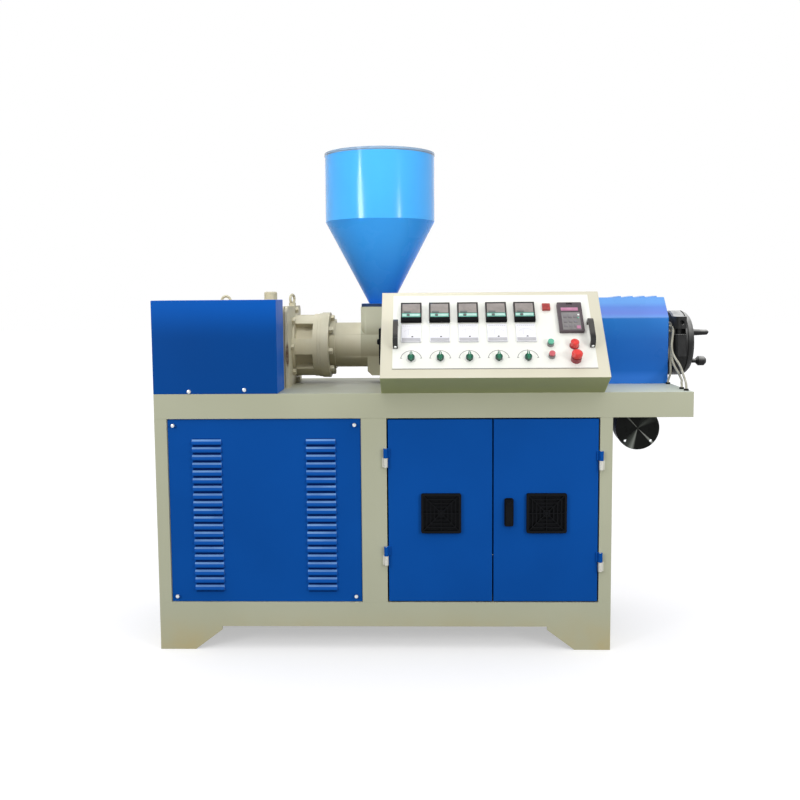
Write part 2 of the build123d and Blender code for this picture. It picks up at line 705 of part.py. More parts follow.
def gearbox():
    """Cast reduction gearbox with its grooved face plate."""
    housing_start = FACEPLATE_START - GEARBOX_LENGTH
    housing = block(housing_start, FACEPLATE_START, GEARBOX_FRONT, GEARBOX_BACK, DECK_TOP, GEARBOX_TOP)
    housing = fillet(housing.edges().filter_by(Axis.X).group_by(Axis.Z)[-1], GEARBOX_CORNER)
    plate_top = DECK_TOP + FACEPLATE_HEIGHT
    plate = block(FACEPLATE_START, LANTERN_START, GEARBOX_FRONT, GEARBOX_BACK, DECK_TOP, plate_top)
    plate = fillet(plate.edges().filter_by(Axis.X).group_by(Axis.Z)[-1], GEARBOX_CORNER)
    groove_x = (FACEPLATE_START + LANTERN_START) / 2
    groove = block(
        groove_x - FACEPLATE_GROOVE / 2, groove_x + FACEPLATE_GROOVE / 2,
        GEARBOX_FRONT, GEARBOX_BACK, DECK_TOP, plate_top,
    )
    groove -= block(
        groove_x - FACEPLATE_GROOVE / 2, groove_x + FACEPLATE_GROOVE / 2,
        GEARBOX_FRONT + FACEPLATE_GROOVE_DEPTH, GEARBOX_BACK - FACEPLATE_GROOVE_DEPTH,
        DECK_TOP, plate_top - FACEPLATE_GROOVE_DEPTH,
    )
    return housing + (plate - groove)


def lifting_eye(x, y, seat, turn):
    """Ring bolt standing on a seat."""
    collar = rod_z(x, y, seat, seat + EYE_STEM, EYE_COLLAR_RADIUS)
    section = Plane.XZ * Pos(EYE_RING_RADIUS, 0) * RegularPolygon(EYE_WIRE_RADIUS, EYE_WIRE_SIDES)
    ring = Rot(90, 0, 0) * revolve(section, Axis.Z)
    return collar + Pos(x, y, seat + EYE_STEM + EYE_RING_RADIUS - EYE_SINK) * Rot(0, 0, turn) * ring


def lifting_eyes():
    """Ring bolts on the gearbox and on its face plate."""
    plate_x = FACEPLATE_START + FACEPLATE_THICKNESS / 2
    return Compound(
        children=[
            lifting_eye(EYE_X, GEARBOX_MIDDLE, GEARBOX_TOP, 0),
            lifting_eye(plate_x, AXIS_DEPTH, DECK_TOP + FACEPLATE_HEIGHT, EYE_TURN),
        ]
    )


def oil_breather():
    """Breather plug on top of the gearbox."""
    cap_base = GEARBOX_TOP + BREATHER_STEM
    cap = rod_z(BREATHER_X, GEARBOX_MIDDLE, cap_base, cap_base + BREATHER_CAP, BREATHER_RADIUS)
    cap = chamfer(cap.edges().sort_by(Axis.Z)[-1], BREATHER_BEVEL)
    return cap + rod_z(BREATHER_X, GEARBOX_MIDDLE, GEARBOX_TOP, cap_base, BREATHER_STEM_RADIUS)


def lantern():
    """Bearing lantern: a cast drum with six sunken windows, stepped up to a thick ring at the barrel end."""
    ring_start = LANTERN_END - LANTERN_RING
    drum = rod_x(LANTERN_START, LANTERN_END, AXIS_DEPTH, AXIS_Z, LANTERN_RADIUS)
    drum += rod_x(ring_start - LANTERN_BAND, ring_start, AXIS_DEPTH, AXIS_Z, LANTERN_BAND_RADIUS)
    drum += rod_x(ring_start, LANTERN_END, AXIS_DEPTH, AXIS_Z, LANTERN_RING_RADIUS)
    bore_radius = COUPLING_RADIUS + COUPLING_CLEARANCE
    bore = rod_x(LANTERN_START, LANTERN_END - LANTERN_END_WALL, AXIS_DEPTH, AXIS_Z, bore_radius)
    shaft_hole = rod_x(LANTERN_START, LANTERN_END, AXIS_DEPTH, AXIS_Z, SCREW_RADIUS + SCREW_CLEARANCE)
    window_middle = LANTERN_START + LANTERN_END_WALL + WINDOW_LENGTH / 2
    window_depth = LANTERN_RING_RADIUS - WINDOW_FLOOR_RADIUS
    windows = []
    for index in range(WINDOW_COUNT):
        angle = WINDOW_FIRST_ANGLE + index * 360 / WINDOW_COUNT
        windows.append(
            Pos(window_middle, AXIS_DEPTH, AXIS_Z)
            * Rot(-angle, 0, 0)
            * Pos(0, -WINDOW_FLOOR_RADIUS - window_depth / 2, 0)
            * Box(WINDOW_LENGTH, window_depth, WINDOW_WIDTH)
        )
    return (drum - bore - shaft_hole).cut(*windows)


def feed_section():
    """Feed barrel with its bolting flange and the square throat casting under the hopper."""
    flange_end = LANTERN_END + FEED_FLANGE
    flange = rod_x(LANTERN_END, flange_end, AXIS_DEPTH, AXIS_Z, FEED_FLANGE_RADIUS)
    barrel = rod_x(flange_end, THROAT_END, AXIS_DEPTH, AXIS_Z, FEED_RADIUS)
    half = THROAT_WIDTH / 2
    casting = block(FEED_END, THROAT_END, AXIS_DEPTH - half, AXIS_DEPTH + half, AXIS_Z, THROAT_RISE)
    casting = fillet(casting.edges().filter_by(Axis.Z), THROAT_CORNER)
    foot = block(
        FEED_END + THROAT_FOOT_INSET, THROAT_END - THROAT_FOOT_INSET,
        AXIS_DEPTH - half, AXIS_DEPTH + half,
        AXIS_Z - THROAT_FOOT_DROP, AXIS_Z,
    )
    foot = chamfer(foot.edges().filter_by(Axis.Y).group_by(Axis.Z)[0], THROAT_FOOT_BEVEL)
    bore = rod_x(LANTERN_END, THROAT_END, AXIS_DEPTH, AXIS_Z, SCREW_RADIUS + SCREW_CLEARANCE)
    throat = rod_z(HOPPER_X, AXIS_DEPTH, AXIS_Z, THROAT_RISE, THROAT_BORE_RADIUS)
    return flange + barrel + casting + foot - bore - throat


def screw_flight(start, end):
    """Helical flight round the screw's root, swept along the screw's axis."""
    path = Helix(pitch=SCREW_PITCH, height=end - start, radius=SCREW_ROOT_RADIUS)
    height = SCREW_RADIUS - SCREW_ROOT_RADIUS + SCREW_FLIGHT_ROOT
    section = Plane(origin=path @ 0, x_dir=(1, 0, 0), z_dir=path % 0) * Pos(
        height / 2 - SCREW_FLIGHT_ROOT, 0, 0
    ) * Rectangle(height, SCREW_FLIGHT)
    flight = sweep(section, path=path, is_frenet=True)
    return Pos(start, AXIS_DEPTH, AXIS_Z) * Rot(0, 90, 0) * flight


def screw():
    """Screw with its coupling in the lantern and its flight open to view in the throat."""
    coupling_start = LANTERN_START + COUPLING_GAP
    flight_start = FEED_END + SCREW_FLIGHT_INSET
    flight_end = THROAT_END - SCREW_FLIGHT_INSET
    tip = THROAT_END + SCREW_TIP
    coupling = rod_x(coupling_start, coupling_start + COUPLING_LENGTH, AXIS_DEPTH, AXIS_Z, COUPLING_RADIUS)
    shank = rod_x(coupling_start, flight_start, AXIS_DEPTH, AXIS_Z, SCREW_RADIUS)
    root = rod_x(flight_start, flight_end, AXIS_DEPTH, AXIS_Z, SCREW_ROOT_RADIUS)
    end = rod_x(flight_end, tip, AXIS_DEPTH, AXIS_Z, SCREW_RADIUS)
    return coupling + shank + root + end + screw_flight(flight_start, flight_end)


def heated_barrel():
    """Heated barrel from the throat to the die head, bored for the screw's first turns."""
    flange = rod_x(THROAT_END, THROAT_END + BARREL_FLANGE, AXIS_DEPTH, AXIS_Z, BARREL_FLANGE_RADIUS)
    tube = rod_x(THROAT_END, HEAD_START, AXIS_DEPTH, AXIS_Z, BARREL_RADIUS)
    head_flange = rod_x(HEAD_START - HEAD_FLANGE, HEAD_START, AXIS_DEPTH, AXIS_Z, HEAD_FLANGE_RADIUS)
    bore = rod_x(
        THROAT_END, THROAT_END + SCREW_TIP + COUPLING_GAP, AXIS_DEPTH, AXIS_Z, SCREW_RADIUS + SCREW_CLEARANCE
    )
    return flange + tube + head_flange - bore


def cover_outline(inset):
    """Cover's cross-section as (depth, height) pairs, drawn in evenly by a sheet thickness."""
    slant = hypot(COVER_BEVEL_RUN, COVER_BEVEL_RISE)
    front = COVER_FRONT + inset
    back = AXIS_DEPTH + COVER_DEPTH / 2 - inset
    top = COVER_TOP - inset
    shoulder = COVER_TOP - COVER_BEVEL_RISE - inset * (slant - COVER_BEVEL_RISE) / COVER_BEVEL_RUN
    run = COVER_BEVEL_RUN - inset + inset * (slant - COVER_BEVEL_RUN) / COVER_BEVEL_RISE
    return (
        (front, DECK_TOP),
        (front, shoulder),
        (front + run, top),
        (back - run, top),
        (back, shoulder),
        (back, DECK_TOP),
    )


def cover_vent(x0):
    """Wedge-shaped hood pressed up out of the cover's top."""
    half = COVER_VENT_WIDTH / 2
    return prism(
        (
            (x0, AXIS_DEPTH - half, COVER_TOP),
            (x0 + COVER_VENT_LENGTH, AXIS_DEPTH - half, COVER_TOP),
            (x0 + COVER_VENT_LENGTH, AXIS_DEPTH - half, COVER_TOP + COVER_VENT_RISE),
        ),
        (0, COVER_VENT_WIDTH, 0),
    )


def barrel_cover():
    """Bevelled sheet cover over the heated barrel, open below, bored at both ends and hooded on top."""
    outer = prism([(COVER_START, y, z) for y, z in cover_outline(0)], (COVER_END - COVER_START, 0, 0))
    inner = prism(
        [(COVER_START + COVER_SHEET, y, z) for y, z in cover_outline(COVER_SHEET)],
        (COVER_END - COVER_START - 2 * COVER_SHEET, 0, 0),
    )
    hole_radius = BARREL_FLANGE_RADIUS + COVER_HOLE_CLEARANCE
    hole = rod_x(COVER_START, COVER_END, AXIS_DEPTH, AXIS_Z, hole_radius)
    last = COVER_END - COVER_VENT_END - COVER_VENT_LENGTH
    hoods = [cover_vent(last - index * COVER_VENT_PITCH) for index in range(COVER_VENT_COUNT)]
    return (outer - inner - hole).fuse(*hoods)


def turned(profile, x0, y, z):
    """Solid turned about X from (along, radius) pairs, starting at a point."""
    outline = make_face(Polyline(*((along, 0, radius) for along, radius in profile), close=True))
    return Pos(x0, y, z) * revolve(outline, Axis.X)


def clamp_lug(z0, z1):
    """Clamp lug standing out of the front of the head."""
    front = AXIS_DEPTH - HEAD_RADIUS - LUG_PROUD
    lug = block(HEAD_START, HEAD_START + LUG_LENGTH, front, front + LUG_DEPTH, z0, z1)
    return chamfer(lug.edges().filter_by(Axis.Z).group_by(Axis.Y)[0], LUG_BEVEL)


def die_head():
    """Round die head with a bevelled nose, its outlet bore and the two lugs of its clamp."""
    groove = LUG_LENGTH + HEAD_GROOVE_FROM_LUG
    nose = HEAD_LENGTH - HEAD_NOSE_LENGTH
    knee_drop = HEAD_NOSE_DROP * (1 - HEAD_NOSE_SHARE)
    body = turned(
        (
            (0, 0),
            (0, HEAD_RADIUS - HEAD_BEVEL),
            (HEAD_BEVEL, HEAD_RADIUS),
            (groove, HEAD_RADIUS),
            (groove, HEAD_RADIUS - HEAD_GROOVE_DEPTH),
            (groove + HEAD_GROOVE, HEAD_RADIUS - HEAD_GROOVE_DEPTH),
            (nose, HEAD_RADIUS),
            (nose + HEAD_NOSE_LENGTH * HEAD_NOSE_SHARE, HEAD_RADIUS - knee_drop),
            (HEAD_LENGTH, HEAD_RADIUS - HEAD_NOSE_DROP),
            (HEAD_LENGTH, 0),
        ),
        HEAD_START, AXIS_DEPTH, AXIS_Z,
    )
    outlet = rod_x(HEAD_END - HEAD_OUTLET_DEPTH, HEAD_END, AXIS_DEPTH, AXIS_Z, HEAD_OUTLET_RADIUS)
    gap_bottom = AXIS_Z + LUG_GAP_RISE
    gap_top = gap_bottom + LUG_GAP
    front = AXIS_DEPTH - HEAD_RADIUS - LUG_PROUD
    upper = clamp_lug(gap_top, gap_top + UPPER_LUG_HEIGHT)
    lower = clamp_lug(gap_bottom - LOWER_LUG_HEIGHT, gap_bottom)
    middle_x = HEAD_START + LUG_LENGTH / 2
    socket_z = gap_top + UPPER_LUG_HEIGHT / 2
    socket = rod_y(middle_x, front, front + LUG_SOCKET_DEPTH, socket_z, LUG_SOCKET_RADIUS)
    slot = block(
        HEAD_START, HEAD_START + LUG_LENGTH,
        front, front + LUG_PROUD + LUG_DEPTH / 2,
        gap_bottom, gap_top,
    )
    bolt = rod_z(middle_x, front + LUG_DEPTH / 2, gap_bottom, gap_top, CLAMP_BOLT_RADIUS)
    return body - outlet + upper + lower - socket - slot + bolt


def head_handles():
    """Plain clamp rod above and knobbed clamp screw below, standing out of the head's face."""
    y = AXIS_DEPTH - HANDLE_FORWARD
    upper = turned(
        (
            (0, 0),
            (0, HANDLE_RADIUS),
            (UPPER_HANDLE_REACH - HANDLE_TIP_BEVEL, HANDLE_TIP_RADIUS),
            (UPPER_HANDLE_REACH, HANDLE_TIP_RADIUS - HANDLE_TIP_BEVEL),
            (UPPER_HANDLE_REACH, 0),
        ),
        HEAD_END, y, AXIS_Z + UPPER_HANDLE_RISE,
    )
    lower = turned(
        (
            (0, 0),
            (0, HANDLE_STEM_RADIUS),
            (HANDLE_STEM, HANDLE_STEM_RADIUS),
            (HANDLE_STEM + HANDLE_TAPER, HANDLE_KNOB_RADIUS),
            (LOWER_HANDLE_REACH - HANDLE_KNOB_BEVEL, HANDLE_KNOB_RADIUS),
            (LOWER_HANDLE_REACH, HANDLE_KNOB_RADIUS - HANDLE_KNOB_BEVEL),
            (LOWER_HANDLE_REACH, 0),
        ),
        HEAD_END, y, AXIS_Z - LOWER_HANDLE_DROP,
    )
    return Compound(children=[upper, lower])


def hopper_cone():
    """Hopper cone with its square flange on the throat."""
    inner_seam = HOPPER_RADIUS - HOPPER_SHEET
    wall = make_face(
        Polyline(
            (HOPPER_OUTLET_RADIUS, 0, HOPPER_BASE),
            (HOPPER_RADIUS, 0, HOPPER_SEAM_RISE),
            (inner_seam, 0, HOPPER_SEAM_RISE),
            (HOPPER_OUTLET_RADIUS - HOPPER_SHEET, 0, HOPPER_BASE),
            close=True,
        )
    )
    cone = Pos(HOPPER_X, AXIS_DEPTH, 0) * revolve(wall, Axis.Z)
    half = THROAT_WIDTH / 2 - HOPPER_FLANGE_INSET
    flange = block(
        HOPPER_X - half, HOPPER_X + half, AXIS_DEPTH - half, AXIS_DEPTH + half, THROAT_RISE, HOPPER_BASE
    )
    flange -= rod_z(HOPPER_X, AXIS_DEPTH, THROAT_RISE, HOPPER_BASE, HOPPER_OUTLET_RADIUS - HOPPER_SHEET)
    return cone + flange


def hopper_drum():
    """Straight drum of the hopper with a turned-out band at the rim."""
    tube = rod_z(HOPPER_X, AXIS_DEPTH, HOPPER_SEAM_RISE, HOPPER_RIM_RISE, HOPPER_RADIUS)
    band_base = HOPPER_RIM_RISE - HOPPER_RIM_BEAD
    band = rod_z(HOPPER_X, AXIS_DEPTH, band_base, HOPPER_RIM_RISE, HOPPER_RADIUS + HOPPER_RIM_PROUD)
    inside = rod_z(HOPPER_X, AXIS_DEPTH, HOPPER_SEAM_RISE, HOPPER_RIM_RISE, HOPPER_RADIUS - HOPPER_SHEET)
    return tube + band - inside


def console_box():
    """Console housing: kicked-back toe, sloping face, flat top and upright back."""
    lip_z = DECK_TOP + CONSOLE_LIP_RISE
    top_z = DECK_TOP + CONSOLE_TOP_RISE
    side = (
        (CONSOLE_START, 0, DECK_TOP),
        (CONSOLE_START, -CONSOLE_LIP_OUT, lip_z),
        (CONSOLE_START, CONSOLE_TOP_BACK, top_z),
        (CONSOLE_START, CONSOLE_BACK, top_z),
        (CONSOLE_START, CONSOLE_BACK, DECK_TOP),
    )
    return prism(side, (CONSOLE_WIDTH, 0, 0))


def console_face():
    """White face plate on the slope."""
    height = FACE_LENGTH - FACE_BOTTOM - FACE_TOP
    sheet = extrude(Rectangle(FACE_WIDTH, height, align=(Align.MIN, Align.MIN)), amount=FACE_SHEET)
    return on_face(0, 0, 0) * sheet


def console_vent():
    """Fan guard on the console's drive-side wall."""
    y = CONSOLE_BACK - SIDE_VENT_BACK - SIDE_VENT_SIZE / 2
    z = DECK_TOP + SIDE_VENT_RISE + SIDE_VENT_SIZE / 2
    return Pos(CONSOLE_START, y, z) * Rot(0, -90, 0) * vent_grille(SIDE_VENT_SIZE, SIDE_VENT_DEPTH)


def column_place(index):
    """Middle of a column of controller, meter and selector on the face."""
    return COLUMN_MARGIN + CONTROLLER_WIDTH / 2 + index * CONTROLLER_PITCH


def controllers():
    """Row of temperature controllers, each a bezel with a sunken window."""
    bezel = extrude(Rectangle(CONTROLLER_WIDTH, CONTROLLER_HEIGHT, align=(Align.CENTER, Align.MIN)),
                    amount=CONTROLLER_PROUD)
    window = Pos(0, CONTROLLER_HEIGHT / 2, CONTROLLER_PROUD - CONTROLLER_WINDOW / 2) * extrude(
        Rectangle(CONTROLLER_WIDTH - 2 * CONTROLLER_WINDOW, CONTROLLER_HEIGHT - 2 * CONTROLLER_WINDOW),
        amount=CONTROLLER_WINDOW,
    )
    body = bezel - window
    return Compound(
        children=[
            on_face(column_place(index), CONTROLLER_BASE, FACE_SHEET) * body
            for index in range(CONTROLLER_COUNT)
        ]
    )


def meters():
    """Row of white ammeters under the controllers, each with a raised lower band."""
    body = extrude(Rectangle(METER_WIDTH, METER_HEIGHT, align=(Align.CENTER, Align.MIN)), amount=METER_PROUD)
    band = Pos(0, 0, METER_PROUD) * extrude(
        Rectangle(METER_WIDTH, METER_BAND, align=(Align.CENTER, Align.MIN)), amount=METER_BAND_STEP
    )
    meter = body + band
    return Compound(
        children=[
            on_face(column_place(index), METER_BASE, FACE_SHEET) * meter
            for index in range(CONTROLLER_COUNT)
        ]
    )


def control_collars():
    """Bezels under the selectors and the speed knob, and collars round the buttons and the stop mushroom."""
    bezel = extrude(Circle(SELECTOR_BEZEL_RADIUS), amount=SELECTOR_BEZEL)
    collars = [
        on_face(column_place(index), SELECTOR_RISE, FACE_SHEET) * bezel for index in range(CONTROLLER_COUNT)
    ]
    collars.append(on_face(SPEED_LEFT, SPEED_RISE, FACE_SHEET) * bezel)
    button_well = Circle(BUTTON_STEM_RADIUS + CONTROL_GAP)
    button_collar = extrude(Circle(BUTTON_COLLAR_RADIUS) - button_well, amount=BUTTON_COLLAR)
    for rise in (START_RISE, STOP_RISE):
        collars.append(on_face(BUTTON_LEFT, rise, FACE_SHEET) * button_collar)
    estop_well = Circle(ESTOP_STEM_RADIUS + CONTROL_GAP)
    estop_collar = extrude(Circle(ESTOP_COLLAR_RADIUS) - estop_well, amount=ESTOP_COLLAR)
    collars.append(on_face(SPEED_LEFT, ESTOP_RISE, FACE_SHEET) * estop_collar)
    return Compound(children=collars)


def selector_knob(index):
    """Selector knob: round skirt with a raised lever bar."""
    skirt = extrude(Circle(SELECTOR_KNOB_RADIUS), amount=SELECTOR_KNOB)
    lever = extrude(SlotOverall(SELECTOR_LEVER_LENGTH, SELECTOR_LEVER_WIDTH), amount=SELECTOR_LEVER)
    seat = FACE_SHEET + SELECTOR_BEZEL + CONTROL_GAP
    return on_face(column_place(index), SELECTOR_RISE, seat) * Rot(0, 0, 90) * (skirt + lever)


def speed_knob():
    """Round speed knob with a bevelled top."""
    knob = extrude(Circle(SPEED_KNOB_RADIUS), amount=SPEED_KNOB)
    knob = chamfer(knob.edges().sort_by(Axis.Z)[-1], SPEED_KNOB_BEVEL)
    return on_face(SPEED_LEFT, SPEED_RISE, FACE_SHEET + SELECTOR_BEZEL + CONTROL_GAP) * knob


def push_button(rise):
    """Push button: cap over its collar, on a stem in the collar's well."""
    stem = extrude(Circle(BUTTON_STEM_RADIUS), amount=BUTTON_COLLAR)
    cap = Pos(0, 0, BUTTON_COLLAR) * extrude(Circle(BUTTON_RADIUS), amount=BUTTON_CAP)
    seat = FACE_SHEET + BUTTON_TRAVEL + CONTROL_GAP
    return on_face(BUTTON_LEFT, rise, seat) * (stem + cap)


def estop_button():
    """Stop mushroom on its stem."""
    stem = extrude(Circle(ESTOP_STEM_RADIUS), amount=ESTOP_COLLAR)
    cap = extrude(Circle(ESTOP_CAP_RADIUS), amount=ESTOP_CAP)
    cap = chamfer(cap.edges().sort_by(Axis.Z)[-1], ESTOP_CAP_BEVEL)
    seat = FACE_SHEET + ESTOP_TRAVEL + CONTROL_GAP
    return on_face(SPEED_LEFT, ESTOP_RISE, seat) * (stem + Pos(0, 0, ESTOP_COLLAR) * cap)


def alarm_lamp():
    """Square signal lamp."""
    lamp = extrude(Rectangle(LAMP_SIZE, LAMP_SIZE, align=(Align.MIN, Align.MIN)), amount=LAMP_PROUD)
    return on_face(LAMP_LEFT, LAMP_BASE, FACE_SHEET) * lamp


def drive_keypad():
    """Keypad of the drive, with a notch in its top edge."""
    shape = RectangleRounded(KEYPAD_WIDTH, KEYPAD_HEIGHT, KEYPAD_CORNER, align=(Align.MIN, Align.MIN))
    body = extrude(shape, amount=KEYPAD_PROUD)
    slot = extrude(Rectangle(KEYPAD_SLOT_WIDTH, KEYPAD_SLOT_HEIGHT), amount=KEYPAD_SLOT_DEPTH)
    slot_rise = KEYPAD_HEIGHT - KEYPAD_SLOT_HEIGHT
    notch = Pos(KEYPAD_WIDTH / 2, slot_rise, KEYPAD_PROUD - KEYPAD_SLOT_DEPTH) * slot
    return on_face(KEYPAD_LEFT, KEYPAD_BASE, FACE_SHEET) * (body - notch)


def console_handles():
    """Two bow handles on the face plate."""
    half = PULL_WIDTH / 2
    bow = block(-half, half, 0, PULL_LENGTH, 0, PULL_REACH)
    bow = fillet(bow.edges().filter_by(Axis.X).group_by(Axis.Z)[-1], PULL_BEND)
    gap = block(-half, half, PULL_BAR, PULL_LENGTH - PULL_BAR, 0, PULL_REACH - PULL_BAR)
    gap = fillet(gap.edges().filter_by(Axis.X).group_by(Axis.Z)[-1], PULL_BEND - PULL_BAR)
    middles = (PULL_MARGIN + half, FACE_WIDTH - PULL_MARGIN - half)
    return Compound(children=[on_face(middle, PULL_BASE, FACE_SHEET) * (bow - gap) for middle in middles])


def blower_cover():
    """Round front cover of the blower with crossed creases."""
    front = BLOWER_FRONT - BLOWER_COVER
    disc = rod_y(BLOWER_POSITION, front, BLOWER_FRONT, BLOWER_Z, BLOWER_COVER_RADIUS)
    crease = Box(2 * BLOWER_RADIUS, 2 * BLOWER_CREASE_PROUD, BLOWER_CREASE)
    for turn in (45, -45):
        disc += Pos(BLOWER_POSITION, front, BLOWER_Z) * Rot(0, turn, 0) * crease
    return disc


def blower_casing():
    """Blower drum with its duct up to the deck."""
    back = BLOWER_FRONT + BLOWER_CASING
    drum = rod_y(BLOWER_POSITION, BLOWER_FRONT, back, BLOWER_Z, BLOWER_RADIUS)
    duct = block(
        BLOWER_POSITION, BLOWER_POSITION + BLOWER_DUCT_WIDTH,
        BLOWER_FRONT + BLOWER_COVER, back - BLOWER_COVER,
        BLOWER_Z, DECK_TOP - DECK_SHEET,
    )
    return drum + duct


def blower_motor():
    """Motor on the back of the blower."""
    back = BLOWER_FRONT + BLOWER_CASING
    return rod_y(BLOWER_POSITION, back, back + BLOWER_MOTOR, BLOWER_Z, BLOWER_MOTOR_RADIUS)


def lead_routes():
    """Routes of the three heater leads, from the cover's end out, down and forward to the deck."""
    return [
        [(COVER_END + out, COVER_FRONT + back, DECK_TOP + up) for out, back, up in route]
        for route in LEAD_ROUTES
    ]


def lead_tube(route):
    """One lead: a round tube along straight runs joined by tangent arcs."""
    points = [Vector(*point) for point in route]
    runs = [after - before for before, after in zip(points, points[1:])]
    radii = []
    for before, after in zip(runs, runs[1:]):
        half_turn = radians(before.get_angle(after)) / 2
        radii.append(LEAD_ARC_SHARE * min(before.length, after.length) / tan(half_turn))
    path = FilletPolyline(*points, radius=radii)
    print("lead radii", [round(radius) for radius in radii], "length", round(path.length))
    section = Plane(origin=points[0], z_dir=runs[0]) * Circle(LEAD_RADIUS)
    return sweep(section, path=path)


def lead_glands():
    """Glands that the leads come out of: three on the cover's end and three on the deck."""
    glands = []
    for route in lead_routes():
        first = Vector(*route[0])
        last = Vector(*route[-1])
        glands.append(rod_x(COVER_END, first.X, first.Y, first.Z, GLAND_RADIUS))
        glands.append(rod_z(last.X, last.Y, DECK_TOP, last.Z, GLAND_RADIUS))
    return Compound(children=glands)


def build_pieces():
    """All pieces by node name, in the working frame."""
    pieces = {
        "deck_tray": deck_tray(),
        "posts": posts(),
        "base_skirt": base_skirt(),
        "floor_pan": floor_pan(),
        "partition": partition(),
        "louvre_panel": louvre_panel(),
        "back_louvre_panel": mirror_back(louvre_panel()),
        "back_panel": mirror_back(plain_panel()),
        "end_panels": end_panels(),
        "hinge_bases": hinge_bases(),
        "left_door": door(LEFT_DOOR_START, LEFT_VENT_X, LEFT_HINGE_X, LEFT_HINGE_SPLITS, 1),
        "right_door": door(RIGHT_DOOR_START, RIGHT_VENT_X, RIGHT_HINGE_X, RIGHT_HINGE_SPLITS, -1),
        "left_door_vent": door_vent(LEFT_VENT_X),
        "right_door_vent": door_vent(RIGHT_VENT_X),
        "door_latch": door_latch(),
        "gear_guard": gear_guard(),
        "gearbox": gearbox(),
        "lifting_eyes": lifting_eyes(),
        "oil_breather": oil_breather(),
        "lantern": lantern(),
        "feed_section": feed_section(),
        "screw": screw(),
        "heated_barrel": heated_barrel(),
        "barrel_cover": barrel_cover(),
        "die_head": die_head(),
        "head_handles": head_handles(),
        "hopper_cone": hopper_cone(),
        "hopper_drum": hopper_drum(),
        "console_box": console_box(),
        "console_face": console_face(),
        "console_vent": console_vent(),
        "controllers": controllers(),
        "meters": meters(),
        "control_collars": control_collars(),
        "speed_knob": speed_knob(),
        "start_button": push_button(START_RISE),
        "stop_button": push_button(STOP_RISE),
        "estop_button": estop_button(),
        "alarm_lamp": alarm_lamp(),
        "drive_keypad": drive_keypad(),
        "console_handles": console_handles(),
        "blower_cover": blower_cover(),
        "blower_casing": blower_casing(),
        "blower_motor": blower_motor(),
        "lead_glands": lead_glands(),
    }
    for index in range(CONTROLLER_COUNT):
        pieces[f"selector_knob_{index + 1}"] = selector_knob(index)
    for index, route in enumerate(lead_routes()):
        pieces[f"heater_lead_{index + 1}"] = lead_tube(route)
    return pieces


def main():
    """Shift the pieces to the origin under the machine's middle and write them out."""
    os.makedirs("parts", exist_ok=True)
    pieces = build_pieces()
    boxes = [piece.bounding_box() for piece in pieces.values()]
    low = [min(getattr(box.min, axis) for box in boxes) for axis in "XY"]
    high = [max(getattr(box.max, axis) for box in boxes) for axis in "XY"]
    middle = [(a + b) / 2 for a, b in zip(low, high)]
    print("origin in the working frame", middle, "low", low, "high", high)
    for name, piece in pieces.items():
        export_step(Pos(-middle[0], -middle[1], 0) * piece, f"parts/{name}.step")


main()
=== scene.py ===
# %% [markdown]
# A small plastic extruder: a blue and beige steel cabinet that carries a gearbox, a screw barrel under a
# cover, a hopper and a sloping control console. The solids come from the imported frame, already at their
# real size and place, so this lesson only dresses them: finishes, fasteners, dials and leads.

# %% Load the frame
import math

import bmesh
import bpy
from mathutils import Euler, Matrix, Vector


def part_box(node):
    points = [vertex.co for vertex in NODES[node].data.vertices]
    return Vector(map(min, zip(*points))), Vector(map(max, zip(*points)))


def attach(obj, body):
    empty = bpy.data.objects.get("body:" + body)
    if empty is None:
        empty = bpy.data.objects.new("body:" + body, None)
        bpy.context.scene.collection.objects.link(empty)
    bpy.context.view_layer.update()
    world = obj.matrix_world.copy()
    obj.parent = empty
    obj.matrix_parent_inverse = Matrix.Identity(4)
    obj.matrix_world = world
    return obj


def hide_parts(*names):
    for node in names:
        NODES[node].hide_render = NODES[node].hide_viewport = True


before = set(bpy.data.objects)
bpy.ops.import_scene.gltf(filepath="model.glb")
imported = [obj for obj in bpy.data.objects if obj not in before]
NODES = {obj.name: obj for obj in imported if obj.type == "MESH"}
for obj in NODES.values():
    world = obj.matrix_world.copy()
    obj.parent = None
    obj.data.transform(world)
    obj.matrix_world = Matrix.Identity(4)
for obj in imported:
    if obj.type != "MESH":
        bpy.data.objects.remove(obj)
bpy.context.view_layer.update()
MM = 0.001

# %% [markdown]
# Sizes read best in the machine's own working frame: millimetres from the deck's front left edge, with
# height from the floor. One small helper turns such a place into the frame's metres, so a bolt or a dial
# follows the deck if the deck moves. A second one gives the corners of a node's box as vectors, and a
# third a placement that points somewhere, for everything that is screwed on.

# %% Working frame
def corners(node):
    """Low and high corner of a node's box."""
    return [Vector(corner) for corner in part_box(node)]


DECK_LOW, DECK_HIGH = corners("deck_tray")


def at(x, y, z):
    """Place in the frame of a point given in millimetres along, into and above the machine."""
    return Vector((DECK_LOW.x + x * MM, DECK_LOW.y + y * MM, z * MM))


def aim(point, direction):
    """Placement whose own up axis points along a direction."""
    turn = Vector(direction).to_track_quat("Z", "Y").to_matrix().to_4x4()
    return Matrix.Translation(point) @ turn


print("deck front left edge at", [round(v, 4) for v in at(0, 0, 0)])

# %% [markdown]
# The photograph was taken from the operator's side, a little above the deck, with a normal lens. A camera
# can be guessed by eye, but the cabinet's upright and level edges give it exactly: how fast they converge
# tells the pitch and the lens. Its place is measured from the deck's front left edge, so it follows the
# frame.

# %% Camera
PHOTO_LENS = 40.551
PHOTO_SENSOR = 36.0
PHOTO_SHIFT_Y = -0.03187
CAMERA_PLACE = (915.2, -3016.7, 1217.4)
CAMERA_PITCH = 5.0
CAMERA_YAW = 1.471
CAMERA_ROLL = -0.434

